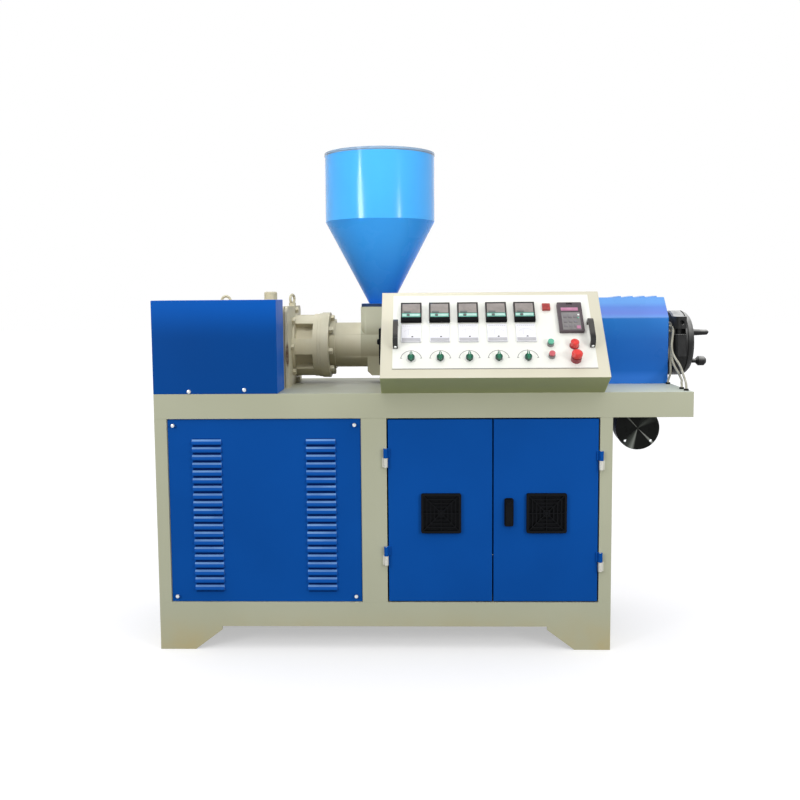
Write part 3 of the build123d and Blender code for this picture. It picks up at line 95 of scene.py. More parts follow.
camera_data = bpy.data.cameras.new("photo_camera")
camera_data.lens = PHOTO_LENS
camera_data.sensor_width = PHOTO_SENSOR
camera_data.shift_y = PHOTO_SHIFT_Y
camera = bpy.data.objects.new("photo_camera", camera_data)
bpy.context.collection.objects.link(camera)
camera.location = at(*CAMERA_PLACE)
turn = Euler((math.radians(90 - CAMERA_PITCH), 0, math.radians(CAMERA_YAW))).to_matrix()
camera.rotation_euler = (turn @ Matrix.Rotation(math.radians(CAMERA_ROLL), 3, "Z")).to_euler()
bpy.context.scene.camera = camera
print("camera at", [round(v, 3) for v in camera.location])

# %% [markdown]
# Paint, plastic and bare metal differ less in colour than in how even they are, so every finish is a
# small node network. Wiring one by hand takes many lines, and the same few moves come back each time: a
# noise, a share that grows from one place to another, a colour laid over the paint so far. The class
# below has one short method for each. Everything is read from object coordinates, which on this frame are
# metres, so a grain keeps its real scale on every piece.

# %% Finish helper
# The mix node keeps sockets for every kind of data; these are the ones for colour.
MIX_FIRST, MIX_SECOND, MIX_RESULT = 6, 7, 2


def linear(code):
    """Colour for a shader from a six-digit screen colour."""
    parts = [int(code[start:start + 2], 16) / 255 for start in (1, 3, 5)]
    return [c / 12.92 if c <= 0.04045 else ((c + 0.055) / 1.055) ** 2.4 for c in parts] + [1.0]


class Finish:
    """A material with its node tree at hand and the paint it has so far."""

    def __init__(self, name):
        self.material = bpy.data.materials.new(name)
        self.material.use_nodes = True
        self.tree = self.material.node_tree
        self.shader = self.tree.nodes["Principled BSDF"]
        self.place = self.add("ShaderNodeTexCoord").outputs["Object"]
        self.paint = None

    def add(self, kind, **settings):
        """New node with some of its settings."""
        node = self.tree.nodes.new(kind)
        for key, value in settings.items():
            setattr(node, key, value)
        return node

    def join(self, output, socket):
        """Link an output to an input."""
        self.tree.links.new(output, socket)

    def fix(self, socket, number):
        """Set a number that is the same all over the surface."""
        self.shader.inputs[socket].default_value = number

    def moved(self, kind="POINT", **settings):
        """Position after a shift, turn or scaling."""
        mapping = self.add("ShaderNodeMapping", vector_type=kind)
        for socket, value in settings.items():
            mapping.inputs[socket].default_value = value
        self.join(self.place, mapping.inputs["Vector"])
        return mapping.outputs["Vector"]

    def noise(self, scale, detail=3.0, place=None):
        """Noise over the piece, or over a moved place if one is given."""
        texture = self.add("ShaderNodeTexNoise")
        texture.inputs["Scale"].default_value = scale
        texture.inputs["Detail"].default_value = detail
        self.join(place or self.place, texture.inputs["Vector"])
        return texture.outputs["Fac"]

    def span(self, value, low, high, start=0.2, end=0.8):
        """Spread a value that runs from start to end over low to high."""
        node = self.add("ShaderNodeMapRange", interpolation_type="SMOOTHSTEP")
        for socket, number in (("From Min", start), ("From Max", end), ("To Min", low), ("To Max", high)):
            node.inputs[socket].default_value = number
        self.join(value, node.inputs["Value"])
        return node.outputs["Result"]

    def cloudy(self, scale, low=0.0, high=1.0, detail=3.0):
        """Share that drifts between low and high in clouds."""
        return self.span(self.noise(scale, detail), low, high)

    def grows(self, value, start, end):
        """Share that grows from none to all as a value goes from start up or down to end."""
        if start < end:
            return self.span(value, 0.0, 1.0, start, end)
        return self.span(value, 1.0, 0.0, end, start)

    def part(self, vector, axis):
        """One coordinate of a vector."""
        split = self.add("ShaderNodeSeparateXYZ")
        self.join(vector, split.inputs["Vector"])
        return split.outputs[axis]

    def level(self, axis, start, end):
        """Share that grows along an axis between two places."""
        return self.grows(self.part(self.place, axis), start, end)

    def facing(self, axis, start, end):
        """Share that grows as the surface's lean along an axis goes from start to end."""
        normal = self.add("ShaderNodeNewGeometry").outputs["Normal"]
        return self.grows(self.part(normal, axis), start, end)

    def times(self, first, *others):
        """Product of shares."""
        for other in others:
            node = self.add("ShaderNodeMath", operation="MULTIPLY")
            self.join(first, node.inputs[0])
            self.join(other, node.inputs[1])
            first = node.outputs["Value"]
        return first

    def blend(self, share, first, second):
        """Mix of two colours, each a colour or an output."""
        node = self.add("ShaderNodeMix", data_type="RGBA")
        self.join(share, node.inputs["Factor"])
        for index, colour in ((MIX_FIRST, first), (MIX_SECOND, second)):
            if isinstance(colour, bpy.types.NodeSocket):
                self.join(colour, node.inputs[index])
            else:
                node.inputs[index].default_value = colour
        return node.outputs[MIX_RESULT]

    def steps(self, share, stops, kind="LINEAR"):
        """Colour that goes through the stops of a ramp."""
        ramp = self.add("ShaderNodeValToRGB")
        ramp.color_ramp.interpolation = kind
        while len(ramp.color_ramp.elements) < len(stops):
            ramp.color_ramp.elements.new(1.0)
        for element, (place, colour) in zip(ramp.color_ramp.elements, stops):
            element.position = place
            element.color = linear(colour)
        self.join(share, ramp.inputs["Fac"])
        return ramp.outputs["Color"]

    def wear(self, paint):
        """Take a colour as the paint so far."""
        self.paint = paint
        self.join(paint, self.shader.inputs["Base Color"])

    def tint(self, share, colour):
        """Lay another colour over the paint where a share asks for it."""
        self.wear(self.blend(share, self.paint, linear(colour)))

    def relief(self, height, strength, depth):
        """Bump of a real depth in metres."""
        bump = self.add("ShaderNodeBump")
        bump.inputs["Strength"].default_value = strength
        bump.inputs["Distance"].default_value = depth
        self.join(height, bump.inputs["Height"])
        self.join(bump.outputs["Normal"], self.shader.inputs["Normal"])


print("finish helper ready")

# %% [markdown]
# Nearly all finishes start alike: a slow noise clouds the colour between two near tones, a second one
# makes the gloss uneven, and a fine one lifts the surface into orange peel, moulded grain or sand-cast
# skin. One number more, the sheen, says how much of the white room the surface gives back. A piece whose
# colour changes along it leaves the two tones out and gets its paint from a ramp afterwards.

# %% Base finish
GLOSS_CLOUD = 3


def plain_finish(name, colour, shade, roughness, spread=0.06, cloud=4.0, grain=500.0, strength=0.15,
                 depth=0.0003, sheen=0.3, coat=0.0, metallic=0.0):
    """Clouded colour, if there is one, uneven gloss and a fine grain."""
    made = Finish(name)
    if colour:
        made.wear(made.blend(made.cloudy(cloud), linear(colour), linear(shade)))
    gloss = made.cloudy(cloud * GLOSS_CLOUD, roughness - spread, roughness + spread)
    made.join(gloss, made.shader.inputs["Roughness"])
    made.relief(made.noise(grain, 2.0), strength, depth)
    made.fix("Specular IOR Level", sheen)
    made.fix("Coat Weight", coat)
    made.fix("Metallic", metallic)
    return made


def enamel(name, colour, shade, roughness=0.4, sheen=0.04):
    """Sprayed enamel with a faint orange peel."""
    return plain_finish(
        name, colour, shade, roughness, spread=0.05,
        cloud=2.5, grain=260.0, strength=0.06, sheen=sheen)


print("base finish ready")

# %% [markdown]
# The sheet metal is sprayed in two enamels. On the doors and panels the blue is even. The belt guard
# stands free. A lighter tone is laid on towards its top and on its end as a painted highlight, by height
# and by the way a face leans. The barrel cover's tones follow its height through a ramp: painted highlights
# on its bevels and along the fold, and a painted reflection of the deck low on its front. A lamp for each
# would do it too, but would also light its neighbours.

# %% Blue enamel
BLUE, BLUE_SHADE = "#1059B4", "#0E52A8"
GUARD_BLUE, GUARD_SHADE, GUARD_TOP_HIGHLIGHT, GUARD_END_HIGHLIGHT = "#0E51A5", "#0D4C9B", "#1364C9", "#1363C6"
GUARD_FADE, GUARD_END_LEAN = 0.14, (0.4, 0.8)
COVER_LIGHT_TONES = (
    (0.012, "#317ADB"), (0.06, "#1668C6"), (0.2, "#1466C3"), (0.5, "#1A6CC8"), (0.78, "#257DD7"),
    (0.835, "#2A82DC"), (0.85, "#6FA0EB"), (0.9, "#718DE2"), (0.955, "#6890E4"), (0.985, "#6FA8EF"),
)

blue_enamel = enamel("blue_enamel", BLUE, BLUE_SHADE)

guard_low, guard_high = corners("gear_guard")
guard_enamel = enamel("guard_enamel", GUARD_BLUE, GUARD_SHADE)
# Painted highlight: the guard gets lighter towards its top and on its end face.
guard_enamel.tint(guard_enamel.level("Z", guard_high.z - GUARD_FADE, guard_high.z), GUARD_TOP_HIGHLIGHT)
guard_enamel.tint(guard_enamel.facing("X", *GUARD_END_LEAN), GUARD_END_HIGHLIGHT)

cover_low, cover_high = corners("barrel_cover")
cover_enamel = enamel("cover_enamel", None, None, roughness=0.3, sheen=0.12)
# Painted light by height: highlights on the cover's bevels and fold, and a painted reflection of the deck
# low on its front.
cover_enamel.wear(cover_enamel.steps(cover_enamel.level("Z", cover_low.z, cover_high.z), COVER_LIGHT_TONES))
print("blue enamels made for panels, guard and cover")

# %% [markdown]
# The hopper is a lighter blue and much glossier, so that it shows the strip lights as streaks. Its rolled
# rim is a dull grey. The cone is painted darker towards its foot as shade, and its flange is nearly black
# with painted shade.

# %% Hopper enamel
HOPPER_BLUE, HOPPER_SHADE, RIM_GREY = "#42B2FF", "#3CAAFA", "#8FA9C4"
CONE_LOW, CONE_SHADE, CONE_HIGH, FLANGE_PAINTED_SHADE = "#2C7ED6", "#2A79CF", "#42AAFF", "#2B3C5C"
RIM_BEAD = 0.011
FLANGE_HEIGHT = 0.012

hopper_low, hopper_high = corners("hopper_drum")
rim = hopper_high.z - RIM_BEAD
hopper_enamel = enamel("hopper_enamel", HOPPER_BLUE, HOPPER_SHADE, roughness=0.15, sheen=0.45)
hopper_enamel.tint(hopper_enamel.level("Z", rim - MM, rim + MM), RIM_GREY)

cone_low, cone_high = corners("hopper_cone")
flange = cone_low.z + FLANGE_HEIGHT
cone_enamel = enamel("cone_enamel", CONE_LOW, CONE_SHADE, roughness=0.26, sheen=0.12)
# Painted shade: the cone darkens towards its foot, and its flange is nearly black.
cone_enamel.tint(cone_enamel.level("Z", flange, cone_high.z), CONE_HIGH)
cone_enamel.tint(cone_enamel.level("Z", flange, flange - MM), FLANGE_PAINTED_SHADE)
print("hopper enamels made")

# %% [markdown]
# The louvres are pressed out of the panel, so their hoods are part of its solid. What makes them read
# from a few metres is light: each hood shines along its upper half, and the sheet under it is in shade.
# Both follow from how far the surface stands out of the panel, so the finish measures that and needs no
# extra shapes.

# %% Louvre enamel
LOUVRE_SHINE, LOUVRE_SHADE = "#82B0EA", "#05276A"
LOUVRE_DEPTH, LOUVRE_LENGTH = 9, 100
LOUVRE_FIRST, LOUVRE_REACH, LOUVRE_GAP = 41, 525, 9
LOUVRE_COLUMNS = (126, 516)
LOUVRE_FADE = 4
HOOD_EDGE, HOOD_UPPER, SHEET_EDGE = (0.0, 0.04), (0.62, 0.4), (0.5, 0.25)
SHINE_CLOUD, SHINE_SHARE = 11.0, (0.55, 1.0)


def louvred_enamel(name, panel, outward):
    """Blue enamel with shining hoods and shaded sheet; outward is the panel's facing along Y."""
    made = enamel(name, BLUE, BLUE_SHADE)
    low, high = corners(panel)
    outer = low.y if outward < 0 else high.y
    sheet = outer - outward * LOUVRE_DEPTH * MM
    proud = made.level("Y", sheet, outer)
    upper = made.times(made.grows(proud, *HOOD_EDGE), made.grows(proud, *HOOD_UPPER))
    uneven = made.cloudy(SHINE_CLOUD, *SHINE_SHARE, detail=1.0)
    made.tint(made.times(upper, uneven), LOUVRE_SHINE)
    flat = made.level("Y", *(sheet + outward * rise * MM for rise in SHEET_EDGE))
    bottom = low.z + (LOUVRE_FIRST - LOUVRE_GAP) * MM
    top = low.z + (LOUVRE_FIRST + LOUVRE_REACH) * MM
    above = made.level("Z", bottom, bottom + LOUVRE_FADE * MM)
    below = made.level("Z", top + LOUVRE_FADE * MM, top)
    for start in LOUVRE_COLUMNS:
        first, last = at(start, 0, 0).x, at(start + LOUVRE_LENGTH, 0, 0).x
        right = made.level("X", first, first + LOUVRE_FADE * MM)
        left = made.level("X", last, last - LOUVRE_FADE * MM)
        made.tint(made.times(flat, above, below, right, left), LOUVRE_SHADE)
    return made


front_louvres = louvred_enamel("louvre_enamel", "louvre_panel", -1)
back_louvres = louvred_enamel("back_louvre_enamel", "back_louvre_panel", 1)
print("louvre enamels made")

# %% [markdown]
# The beige enamel of the frame is duller. Dust from the floor has settled into it low down, which shows
# as a warmer tone on the feet, and a grey film of dust lies on the deck. At the end beyond the console, the
# deck's top is painted lighter and bluer, with painted light and a painted reflection of the blue cover.
# The console is sprayed in cream, and what faces down on it is painted an olive tone: painted shade with
# the deck's reflected light in it.

# %% Beige and cream enamel
BEIGE, BEIGE_SHADE = "#C9CBB2", "#C2C4AA"
FLOOR_DUST, FLOOR_DUST_HEIGHT = "#CDBB86", 0.16
FLOOR_DUST_CLOUD, FLOOR_DUST_SHARE = 9.0, (0.15, 0.75)
DECK_DUST, DECK_END_PAINTED_LIGHT, DECK_FADE, DECK_LEAN = "#B9BAA8", "#CBD2C6", 0.05, (0.6, 0.95)
CREAM, CREAM_SHADE, CREAM_UNDERSHADE, UNDER_LEAN = "#DEDAC6", "#D8D3BE", "#CBD396", (0.0, -0.5)

frame_enamel = enamel("beige_enamel", BEIGE, BEIGE_SHADE, roughness=0.42, sheen=0.1)
low_down = frame_enamel.level("Z", FLOOR_DUST_HEIGHT, 0.0)
patchy = frame_enamel.cloudy(FLOOR_DUST_CLOUD, *FLOOR_DUST_SHARE, detail=6.0)
frame_enamel.tint(frame_enamel.times(low_down, patchy), FLOOR_DUST)

console_low, console_high = corners("console_box")
flat_top = frame_enamel.facing("Z", *DECK_LEAN)
lit_deck_end = frame_enamel.level("X", console_high.x - DECK_FADE, console_high.x + DECK_FADE)
frame_enamel.tint(flat_top, DECK_DUST)
# Painted light and a painted reflection of the blue cover on the deck's top beyond the console.
frame_enamel.tint(frame_enamel.times(flat_top, lit_deck_end), DECK_END_PAINTED_LIGHT)

console_enamel = enamel("console_enamel", CREAM, CREAM_SHADE, roughness=0.46, sheen=0.2)
# Painted shade with an olive cast of reflected light on the console's downward faces.
console_enamel.tint(console_enamel.facing("Z", *UNDER_LEAN), CREAM_UNDERSHADE)
print("frame and console enamels made")

# %% [markdown]
# The gearbox, lantern and feed section are painted over rough castings, so they get a coarser relief, and
# they are painted darker where they face down, as shade. A brown smear of old primer shows on the edge of
# the gearbox face plate; it is an ellipsoid of a real size, ragged by noise. The throat under the hopper is
# a darker beige that grows lighter towards its top.

# %% Castings
CASTING, CASTING_SHADE, PRIMER = "#D8D2BA", "#C5BEA2", "#4E2E27"
GEARBOX_UNDERSHADE, GEARBOX_LEAN = "#B4AB92", (0.3, -0.8)
FEED_UNDERSHADE, FEED_LEAN = "#938B72", (0.6, -0.8)
PRIMER_PLACE, PRIMER_REACH, PRIMER_EDGE = (431, 195, 1008), (10, 24, 48), (1.1, 0.6)
PRIMER_CLOUD, PRIMER_SHARE = 150.0, (0.6, 1.0)
THROAT_HIGH, THROAT_LOW = "#D8DAC2", "#A4A28A"
THROAT_START, THROAT_RISE = 684, (1070, 1125)


def casting_paint(name):
    """Paint over a sand casting."""
    return plain_finish(
        name, CASTING, CASTING_SHADE, roughness=0.5, spread=0.1,
        cloud=7.0, grain=120.0, strength=0.35, depth=0.0006)


gearbox_paint = casting_paint("casting_paint")
# Painted shade where the gearbox castings face down.
gearbox_paint.tint(gearbox_paint.facing("Z", *GEARBOX_LEAN), GEARBOX_UNDERSHADE)
reach = [size * MM for size in PRIMER_REACH]
offset = gearbox_paint.moved("TEXTURE", Location=at(*PRIMER_PLACE), Scale=reach)
distance = gearbox_paint.add("ShaderNodeVectorMath", operation="LENGTH")
gearbox_paint.join(offset, distance.inputs[0])
smear = gearbox_paint.grows(distance.outputs["Value"], *PRIMER_EDGE)
ragged = gearbox_paint.cloudy(PRIMER_CLOUD, *PRIMER_SHARE, detail=4.0)
gearbox_paint.tint(gearbox_paint.times(smear, ragged), PRIMER)

feed_paint = casting_paint("feed_paint")
throat_start = at(THROAT_START, 0, 0).x
throat = feed_paint.level("X", throat_start - MM, throat_start + MM)
high_up = feed_paint.level("Z", *(height * MM for height in THROAT_RISE))
# The throat is a darker beige that grows lighter towards its top.
feed_paint.tint(throat, THROAT_LOW)
feed_paint.tint(feed_paint.times(throat, high_up), THROAT_HIGH)
# Painted shade where the feed section faces down.
feed_paint.tint(feed_paint.facing("Z", *FEED_LEAN), FEED_UNDERSHADE)
print("casting paints made")

# %% [markdown]
# Bare metal is recognised by its fine lines, left by turning or brushing. A noise that is squeezed along
# one axis draws such lines, and one network can use it for colour, gloss and relief alike.

# %% Metals
LINE_SCALE, LINE_DETAIL = 60.0, 4.0
LINE_GLOSS, LINE_STRENGTH, LINE_DEPTH = 0.08, 0.2, 0.0002


def brushed_finish(name, colour, shade, roughness, stretch):
    """Bare metal with fine lines along one axis."""
    made = Finish(name)
    lines = made.noise(LINE_SCALE, LINE_DETAIL, made.moved(Scale=stretch))
    made.wear(made.blend(made.span(lines, 0.0, 1.0), linear(colour), linear(shade)))
    gloss = made.span(lines, roughness - LINE_GLOSS, roughness + LINE_GLOSS)
    made.join(gloss, made.shader.inputs["Roughness"])
    made.relief(lines, LINE_STRENGTH, LINE_DEPTH)
    made.fix("Metallic", 1.0)
    return made


turned_steel = brushed_finish("turned_steel", "#B8B8B4", "#8E8E8A", 0.32, (30.0, 1.0, 1.0))
zinc = brushed_finish("zinc_plate", "#E4E6E6", "#BFC3C4", 0.3, (1.0, 8.0, 8.0))
hinge_metal = plain_finish("hinge_metal", "#E9E8DE", "#D2D1C6", 0.38, metallic=0.2, coat=0.2, cloud=20.0)
print("metals made")

# %% [markdown]
# The die head is scaled black by heat, and where it faces up it is painted pale: partly dust, partly a
# painted highlight of the light overhead. The blower is lacquered, and its cover is a disc with pressed
# creases: light runs out from its middle in narrow fans. A radial gradient round the disc's middle, sent
# through a ramp, paints those fans as highlights without a single extra face.

# %% Black castings
HEAD_DUST_AND_HIGHLIGHT, HEAD_TOP_CLOUD, HEAD_TOP_SHARE = "#D6D6D4", 40.0, (0.6, 1.0)
# Painted highlights along the pressed creases, in turns round the blower cover's middle.
CREASE_HIGHLIGHTS = (
    (0.0, "#0A0C0A"), (0.1, "#0E100E"), (0.17, "#4E524D"), (0.205, "#9DA19A"), (0.225, "#121412"),
    (0.36, "#0C0E0C"), (0.375, "#B0B3AC"), (0.39, "#101210"), (0.55, "#0C0E0C"), (0.6, "#545853"),
    (0.66, "#2A2D2A"), (0.72, "#0C0E0C"), (0.852, "#0E100E"), (0.867, "#A8ABA4"), (0.882, "#101210"),
)


def lacquer(name, colour, shade, roughness, sheen):
    """Black lacquer."""
    return plain_finish(
        name, colour, shade, roughness, spread=0.08,
        cloud=10.0, grain=300.0, strength=0.1, sheen=sheen)


head_black = plain_finish(
    "head_black", "#303030", "#262627", roughness=0.46, spread=0.1,
    cloud=14.0, grain=180.0, strength=0.35, depth=0.0005, sheen=0.12)
top_patches = head_black.cloudy(HEAD_TOP_CLOUD, *HEAD_TOP_SHARE, detail=4.0)
# Pale tone on upward faces of the head: dust and painted highlight.
head_black.tint(head_black.times(head_black.facing("Z", 0.0, 1.0), top_patches), HEAD_DUST_AND_HIGHLIGHT)

blower_black = lacquer("blower_black", "#1E1F1F", "#161717", roughness=0.36, sheen=0.1)
blower_low, blower_high = corners("blower_cover")
blower_middle = (blower_low + blower_high) / 2
blower_front = lacquer("blower_front", None, None, roughness=0.3, sheen=0.08)
fan = blower_front.add("ShaderNodeTexGradient", gradient_type="RADIAL")
disc = blower_front.moved("TEXTURE", Location=blower_middle, Rotation=(math.radians(90), 0, 0))
blower_front.join(disc, fan.inputs["Vector"])
blower_front.wear(blower_front.steps(fan.outputs["Fac"], CREASE_HIGHLIGHTS))
print("black castings made")

# %% [markdown]
# The console is a mixture of mouldings: matt black vents and handles, dark controller bezels, white
# meters, glossy red and green controls. Each keeps its own grain and gloss, because at this size that is
# what tells plastic from paint. Printed marks are finishes too, a little rougher than what they are
# printed on.

# %% Plastics
black_plastic = plain_finish(
    "black_plastic", "#121316", "#0C0D0F", 0.5, 0.08, cloud=30.0, grain=900.0, sheen=0.08)
controller_plastic = plain_finish("controller_plastic", "#3C3837", "#302D2C", 0.42, cloud=30.0, grain=900.0)
keypad_plastic = plain_finish("keypad_plastic", "#5F5459", "#544A4F", 0.45, cloud=30.0, grain=900.0)
face_plate = plain_finish("face_plate", "#F6F7F0", "#F1F2EA", 0.35, 0.05, coat=0.15, cloud=5.0)
meter_plastic = plain_finish("meter_plastic", "#F3F3F8", "#EDEDF4", 0.3, coat=0.2, cloud=20.0)
white_plastic = plain_finish("white_plastic", "#F2F3F0", "#E6E8E4", 0.35, coat=0.2, cloud=40.0)
red_plastic = plain_finish("red_plastic", "#EE3A32", "#D8302A", 0.25, coat=0.4, cloud=40.0)
stop_plastic = plain_finish("stop_plastic", "#D8646C", "#C95A62", 0.28, coat=0.4, cloud=40.0)
start_plastic = plain_finish("start_plastic", "#63BE9F", "#57B092", 0.28, coat=0.4, cloud=40.0)
lamp_plastic = plain_finish("lamp_plastic", "#B8403C", "#A23431", 0.3, coat=0.3, cloud=60.0)
screen_glass = plain_finish("screen_glass", "#9C948F", "#8B8480", 0.16, 0.04, coat=0.6, cloud=50.0)
teal_film = plain_finish("teal_film", "#6FB9A8", "#5CA796", 0.25, coat=0.4, cloud=60.0)
pale_film = plain_finish("pale_film", "#BFE3D8", "#AFD6CA", 0.25, coat=0.4, cloud=60.0)
display_pink = plain_finish("display_pink", "#C98AA8", "#B87898", 0.2, coat=0.5, cloud=60.0)
mark_grey = plain_finish("mark_grey", "#6C706E", "#616563", 0.4, cloud=60.0)
band_grey = plain_finish("band_grey", "#C3C2C6", "#B8B7BB", 0.5, cloud=60.0)
keypad_grey = plain_finish("keypad_grey", "#8E8B8B", "#807D7D", 0.5, cloud=40.0)
key_grey = plain_finish("key_grey", "#878386", "#7C787B", 0.5, cloud=60.0)
lamp_dark = plain_finish("lamp_dark", "#7C2C2A", "#6C2523", 0.4, cloud=60.0)
print_grey = plain_finish("print_grey", "#8F8B8A", "#837F7E", 0.6, cloud=80.0)
print_dark = plain_finish("print_dark", "#4A4848", "#3C3A3A", 0.6, cloud=80.0)
print_pale = plain_finish("print_pale", "#CBCAD0", "#C2C1C8", 0.6, cloud=80.0)
print("plastics made")

# %% [markdown]
# Some mouldings have two colours in one solid. The selector knobs are dark with a brighter green grip on
# top, the handles get a painted highlight on their upper half, and one node holds white bezels, grey
# button collars and a dark red base in a row. Cutting the solids apart would lose their simple shape, so
# the colour changes at a measured place instead.

# %% Two-coloured plastics
FACE_RUN, FACE_RISE = 249, 277
FACE_OUT = Vector((0, -FACE_RISE, FACE_RUN)).normalized()
GRIP_DEPTH, GRIP_EDGE = 0.008, 0.0005
HANDLE_FADE = 0.008
COLLAR_STEPS = ((0.0, "#F1F2EE"), (0.86, "#8E8C8B"), (0.965, "#9A3840"))


def two_tone(name, under, shade, over, roughness, direction, start, end):
    """One plastic below and another above a level measured along a direction."""
    made = plain_finish(name, under, shade, roughness, coat=0.3, cloud=40.0)
    rise = made.add("ShaderNodeVectorMath", operation="DOT_PRODUCT")
    made.join(made.place, rise.inputs[0])
    rise.inputs[1].default_value = direction
    made.tint(made.grows(rise.outputs["Value"], start, end), over)
    return made


knob = NODES["selector_knob_1"]
knob_top = max(FACE_OUT.dot(knob.matrix_world @ vertex.co) for vertex in knob.data.vertices)
grip = knob_top - GRIP_DEPTH
selector_plastic = two_tone(
    "selector_plastic", "#0D3F30", "#0B392B", "#137453", 0.28,
    FACE_OUT, grip - GRIP_EDGE, grip + GRIP_EDGE)
handle_low, handle_high = corners("console_handles")
bow = (handle_low.z + handle_high.z) / 2
# Painted highlight on the upper half of the bow handles.
handle_plastic = two_tone(
    "handle_plastic", "#161616", "#131313", "#45423F", 0.33,
    (0, 0, 1), bow - HANDLE_FADE, bow + HANDLE_FADE)

collar_low, collar_high = corners("control_collars")
collar_plastic = plain_finish("control_collars", None, None, roughness=0.32, coat=0.3, cloud=40.0)
row = collar_plastic.level("X", collar_low.x, collar_high.x)
collar_plastic.wear(collar_plastic.steps(row, COLLAR_STEPS, "CONSTANT"))
print("two-coloured plastics made, knob tops", round(knob_top, 4))

# %% [markdown]
# Each CAD node keeps its shape and takes its finish in its material slot. Folded sheet and castings never
# have a knife edge, so the straight-edged nodes also get a narrow bevel as a modifier, which catches the
# light along every fold without touching the solid itself.

# %% Dress the CAD nodes
FINISHES = {
    blue_enamel: ("back_panel", "end_panels", "left_door", "right_door"),
    guard_enamel: ("gear_guard",),
    front_louvres: ("louvre_panel",),
    back_louvres: ("back_louvre_panel",),
    cover_enamel: ("barrel_cover",),
    hopper_enamel: ("hopper_drum",),
    cone_enamel: ("hopper_cone",),
    frame_enamel: ("deck_tray", "posts", "base_skirt", "floor_pan", "partition"),
    gearbox_paint: ("gearbox", "lifting_eyes", "oil_breather", "lantern"),
    feed_paint: ("feed_section",),
    turned_steel: ("screw", "heated_barrel"),
    hinge_metal: ("hinge_bases",),
    head_black: ("die_head", "head_handles"),
    blower_black: ("blower_casing", "blower_motor"),
    blower_front: ("blower_cover",),
    black_plastic: ("left_door_vent", "right_door_vent", "console_vent", "door_latch", "lead_glands"),
    handle_plastic: ("console_handles",),
    console_enamel: ("console_box",),
    face_plate: ("console_face",),
    controller_plastic: ("controllers",),
    meter_plastic: ("meters",),
    collar_plastic: ("control_collars",),
    red_plastic: ("speed_knob", "estop_button"),
    stop_plastic: ("stop_button",),
    lamp_plastic: ("alarm_lamp",),
    start_plastic: ("start_button",),
    selector_plastic: tuple(f"selector_knob_{index}" for index in range(1, 6)),
    keypad_plastic: ("drive_keypad",),
}
EDGE_ROUNDS = {
    2.0: ("gear_guard", "barrel_cover", "console_box", "gearbox", "feed_section"),
    1.0: ("deck_tray", "left_door", "right_door", "back_panel", "end_panels", "drive_keypad", "alarm_lamp",
          "console_handles", "door_latch", "controllers", "meters", "die_head", "lantern"),
    0.6: ("left_door_vent", "right_door_vent", "console_vent", "hinge_bases", "console_face"),
    0.4: ("posts", "base_skirt"),
}
EDGE_ANGLE = math.radians(35)
EDGE_SEGMENTS = 2
WELD_REACH = 0.00002

for finish, names in FINISHES.items():
    for name in names:
        NODES[name].data.materials.clear()
        NODES[name].data.materials.append(finish.material)
for width, names in EDGE_ROUNDS.items():
    for name in names:
        weld = NODES[name].modifiers.new("weld", "WELD")
        weld.merge_threshold = WELD_REACH
        bevel = NODES[name].modifiers.new("edge_round", "BEVEL")
        bevel.width = width * MM
        bevel.segments = EDGE_SEGMENTS
        bevel.limit_method = "ANGLE"
        bevel.angle_limit = EDGE_ANGLE
        NODES[name].modifiers.new("even_shade", "WEIGHTED_NORMAL")
print("dressed", sum(len(names) for names in FINISHES.values()), "nodes")

# %% [markdown]
# Three heater leads hang out of the cover's end and go back into the machine through glands in the deck.
# They are limp wires in braided glass sleeving, so each follows the route of its solid as one smooth
# spline, measured from the cover's lower front corner at its end. The sleeve's weave is two sets of fine
# crossing waves.

# %% Heater leads
LEAD_DIAMETER = 0.008
LEAD_ROUTES = (
    (
        (6, 27, 210), (14, 27, 210), (19.5, 23, 205.5), (21, 14, 195), (16, 7, 168), (11, -1, 138),
        (12, -12, 112), (18, -31, 92), (24, -57, 76), (23, -94, 59), (16, -139, 44), (10, -181, 31),
        (4, -212, 25.5), (-1, -231, 24), (-3.5, -242, 21), (-4, -247, 14), (-4, -247, 6),
    ),
    (
        (6, 30, 192), (14, 30, 192), (19.5, 27, 187), (21, 20, 176), (16, 13, 150), (12, 6, 120),
        (12, -1, 96), (15, -12, 74), (20, -31, 56), (22, -61, 42), (18, -99, 31), (11, -139, 26),
        (4, -165, 24), (-1.5, -180, 23.5), (-3.5, -188, 21), (-4, -193, 14), (-4, -193, 6),
    ),
    (
        (6, 51, 222), (13, 51, 222), (18.5, 48, 218), (20, 41, 208), (17, 37, 185), (14, 34, 155),
        (13, 27, 125), (12, 18, 98), (10, 8, 74), (9, -4, 53), (6, -12, 40), (2, -18, 30),
        (-2, -19.5, 19.5), (-4, -19, 13), (-4, -19, 6),
    ),
)
LEAD_LENGTHS = (0.388, 0.344, 0.242)
LEAD_SIDES, LEAD_STEPS, LEAD_ORDER = 5, 8, 3
BRAID_SCALE, BRAID_ANGLE = 220.0, math.radians(45)
BRAID_STRENGTH, BRAID_DEPTH = 0.6, 0.0006

lead_start = Vector((cover_high.x, cover_low.y, DECK_HIGH.z))
lead_sleeve = plain_finish("lead_sleeve", "#C9C6B6", "#A8A596", 0.75, 0.08, cloud=25.0)
waves = []
for angle in (BRAID_ANGLE, -BRAID_ANGLE):
    wave = lead_sleeve.add("ShaderNodeTexWave")
    wave.inputs["Scale"].default_value = BRAID_SCALE
    lead_sleeve.join(lead_sleeve.moved(Rotation=(0, angle, angle)), wave.inputs["Vector"])
    waves.append(wave.outputs["Fac"])
lead_sleeve.relief(lead_sleeve.times(*waves), BRAID_STRENGTH, BRAID_DEPTH)

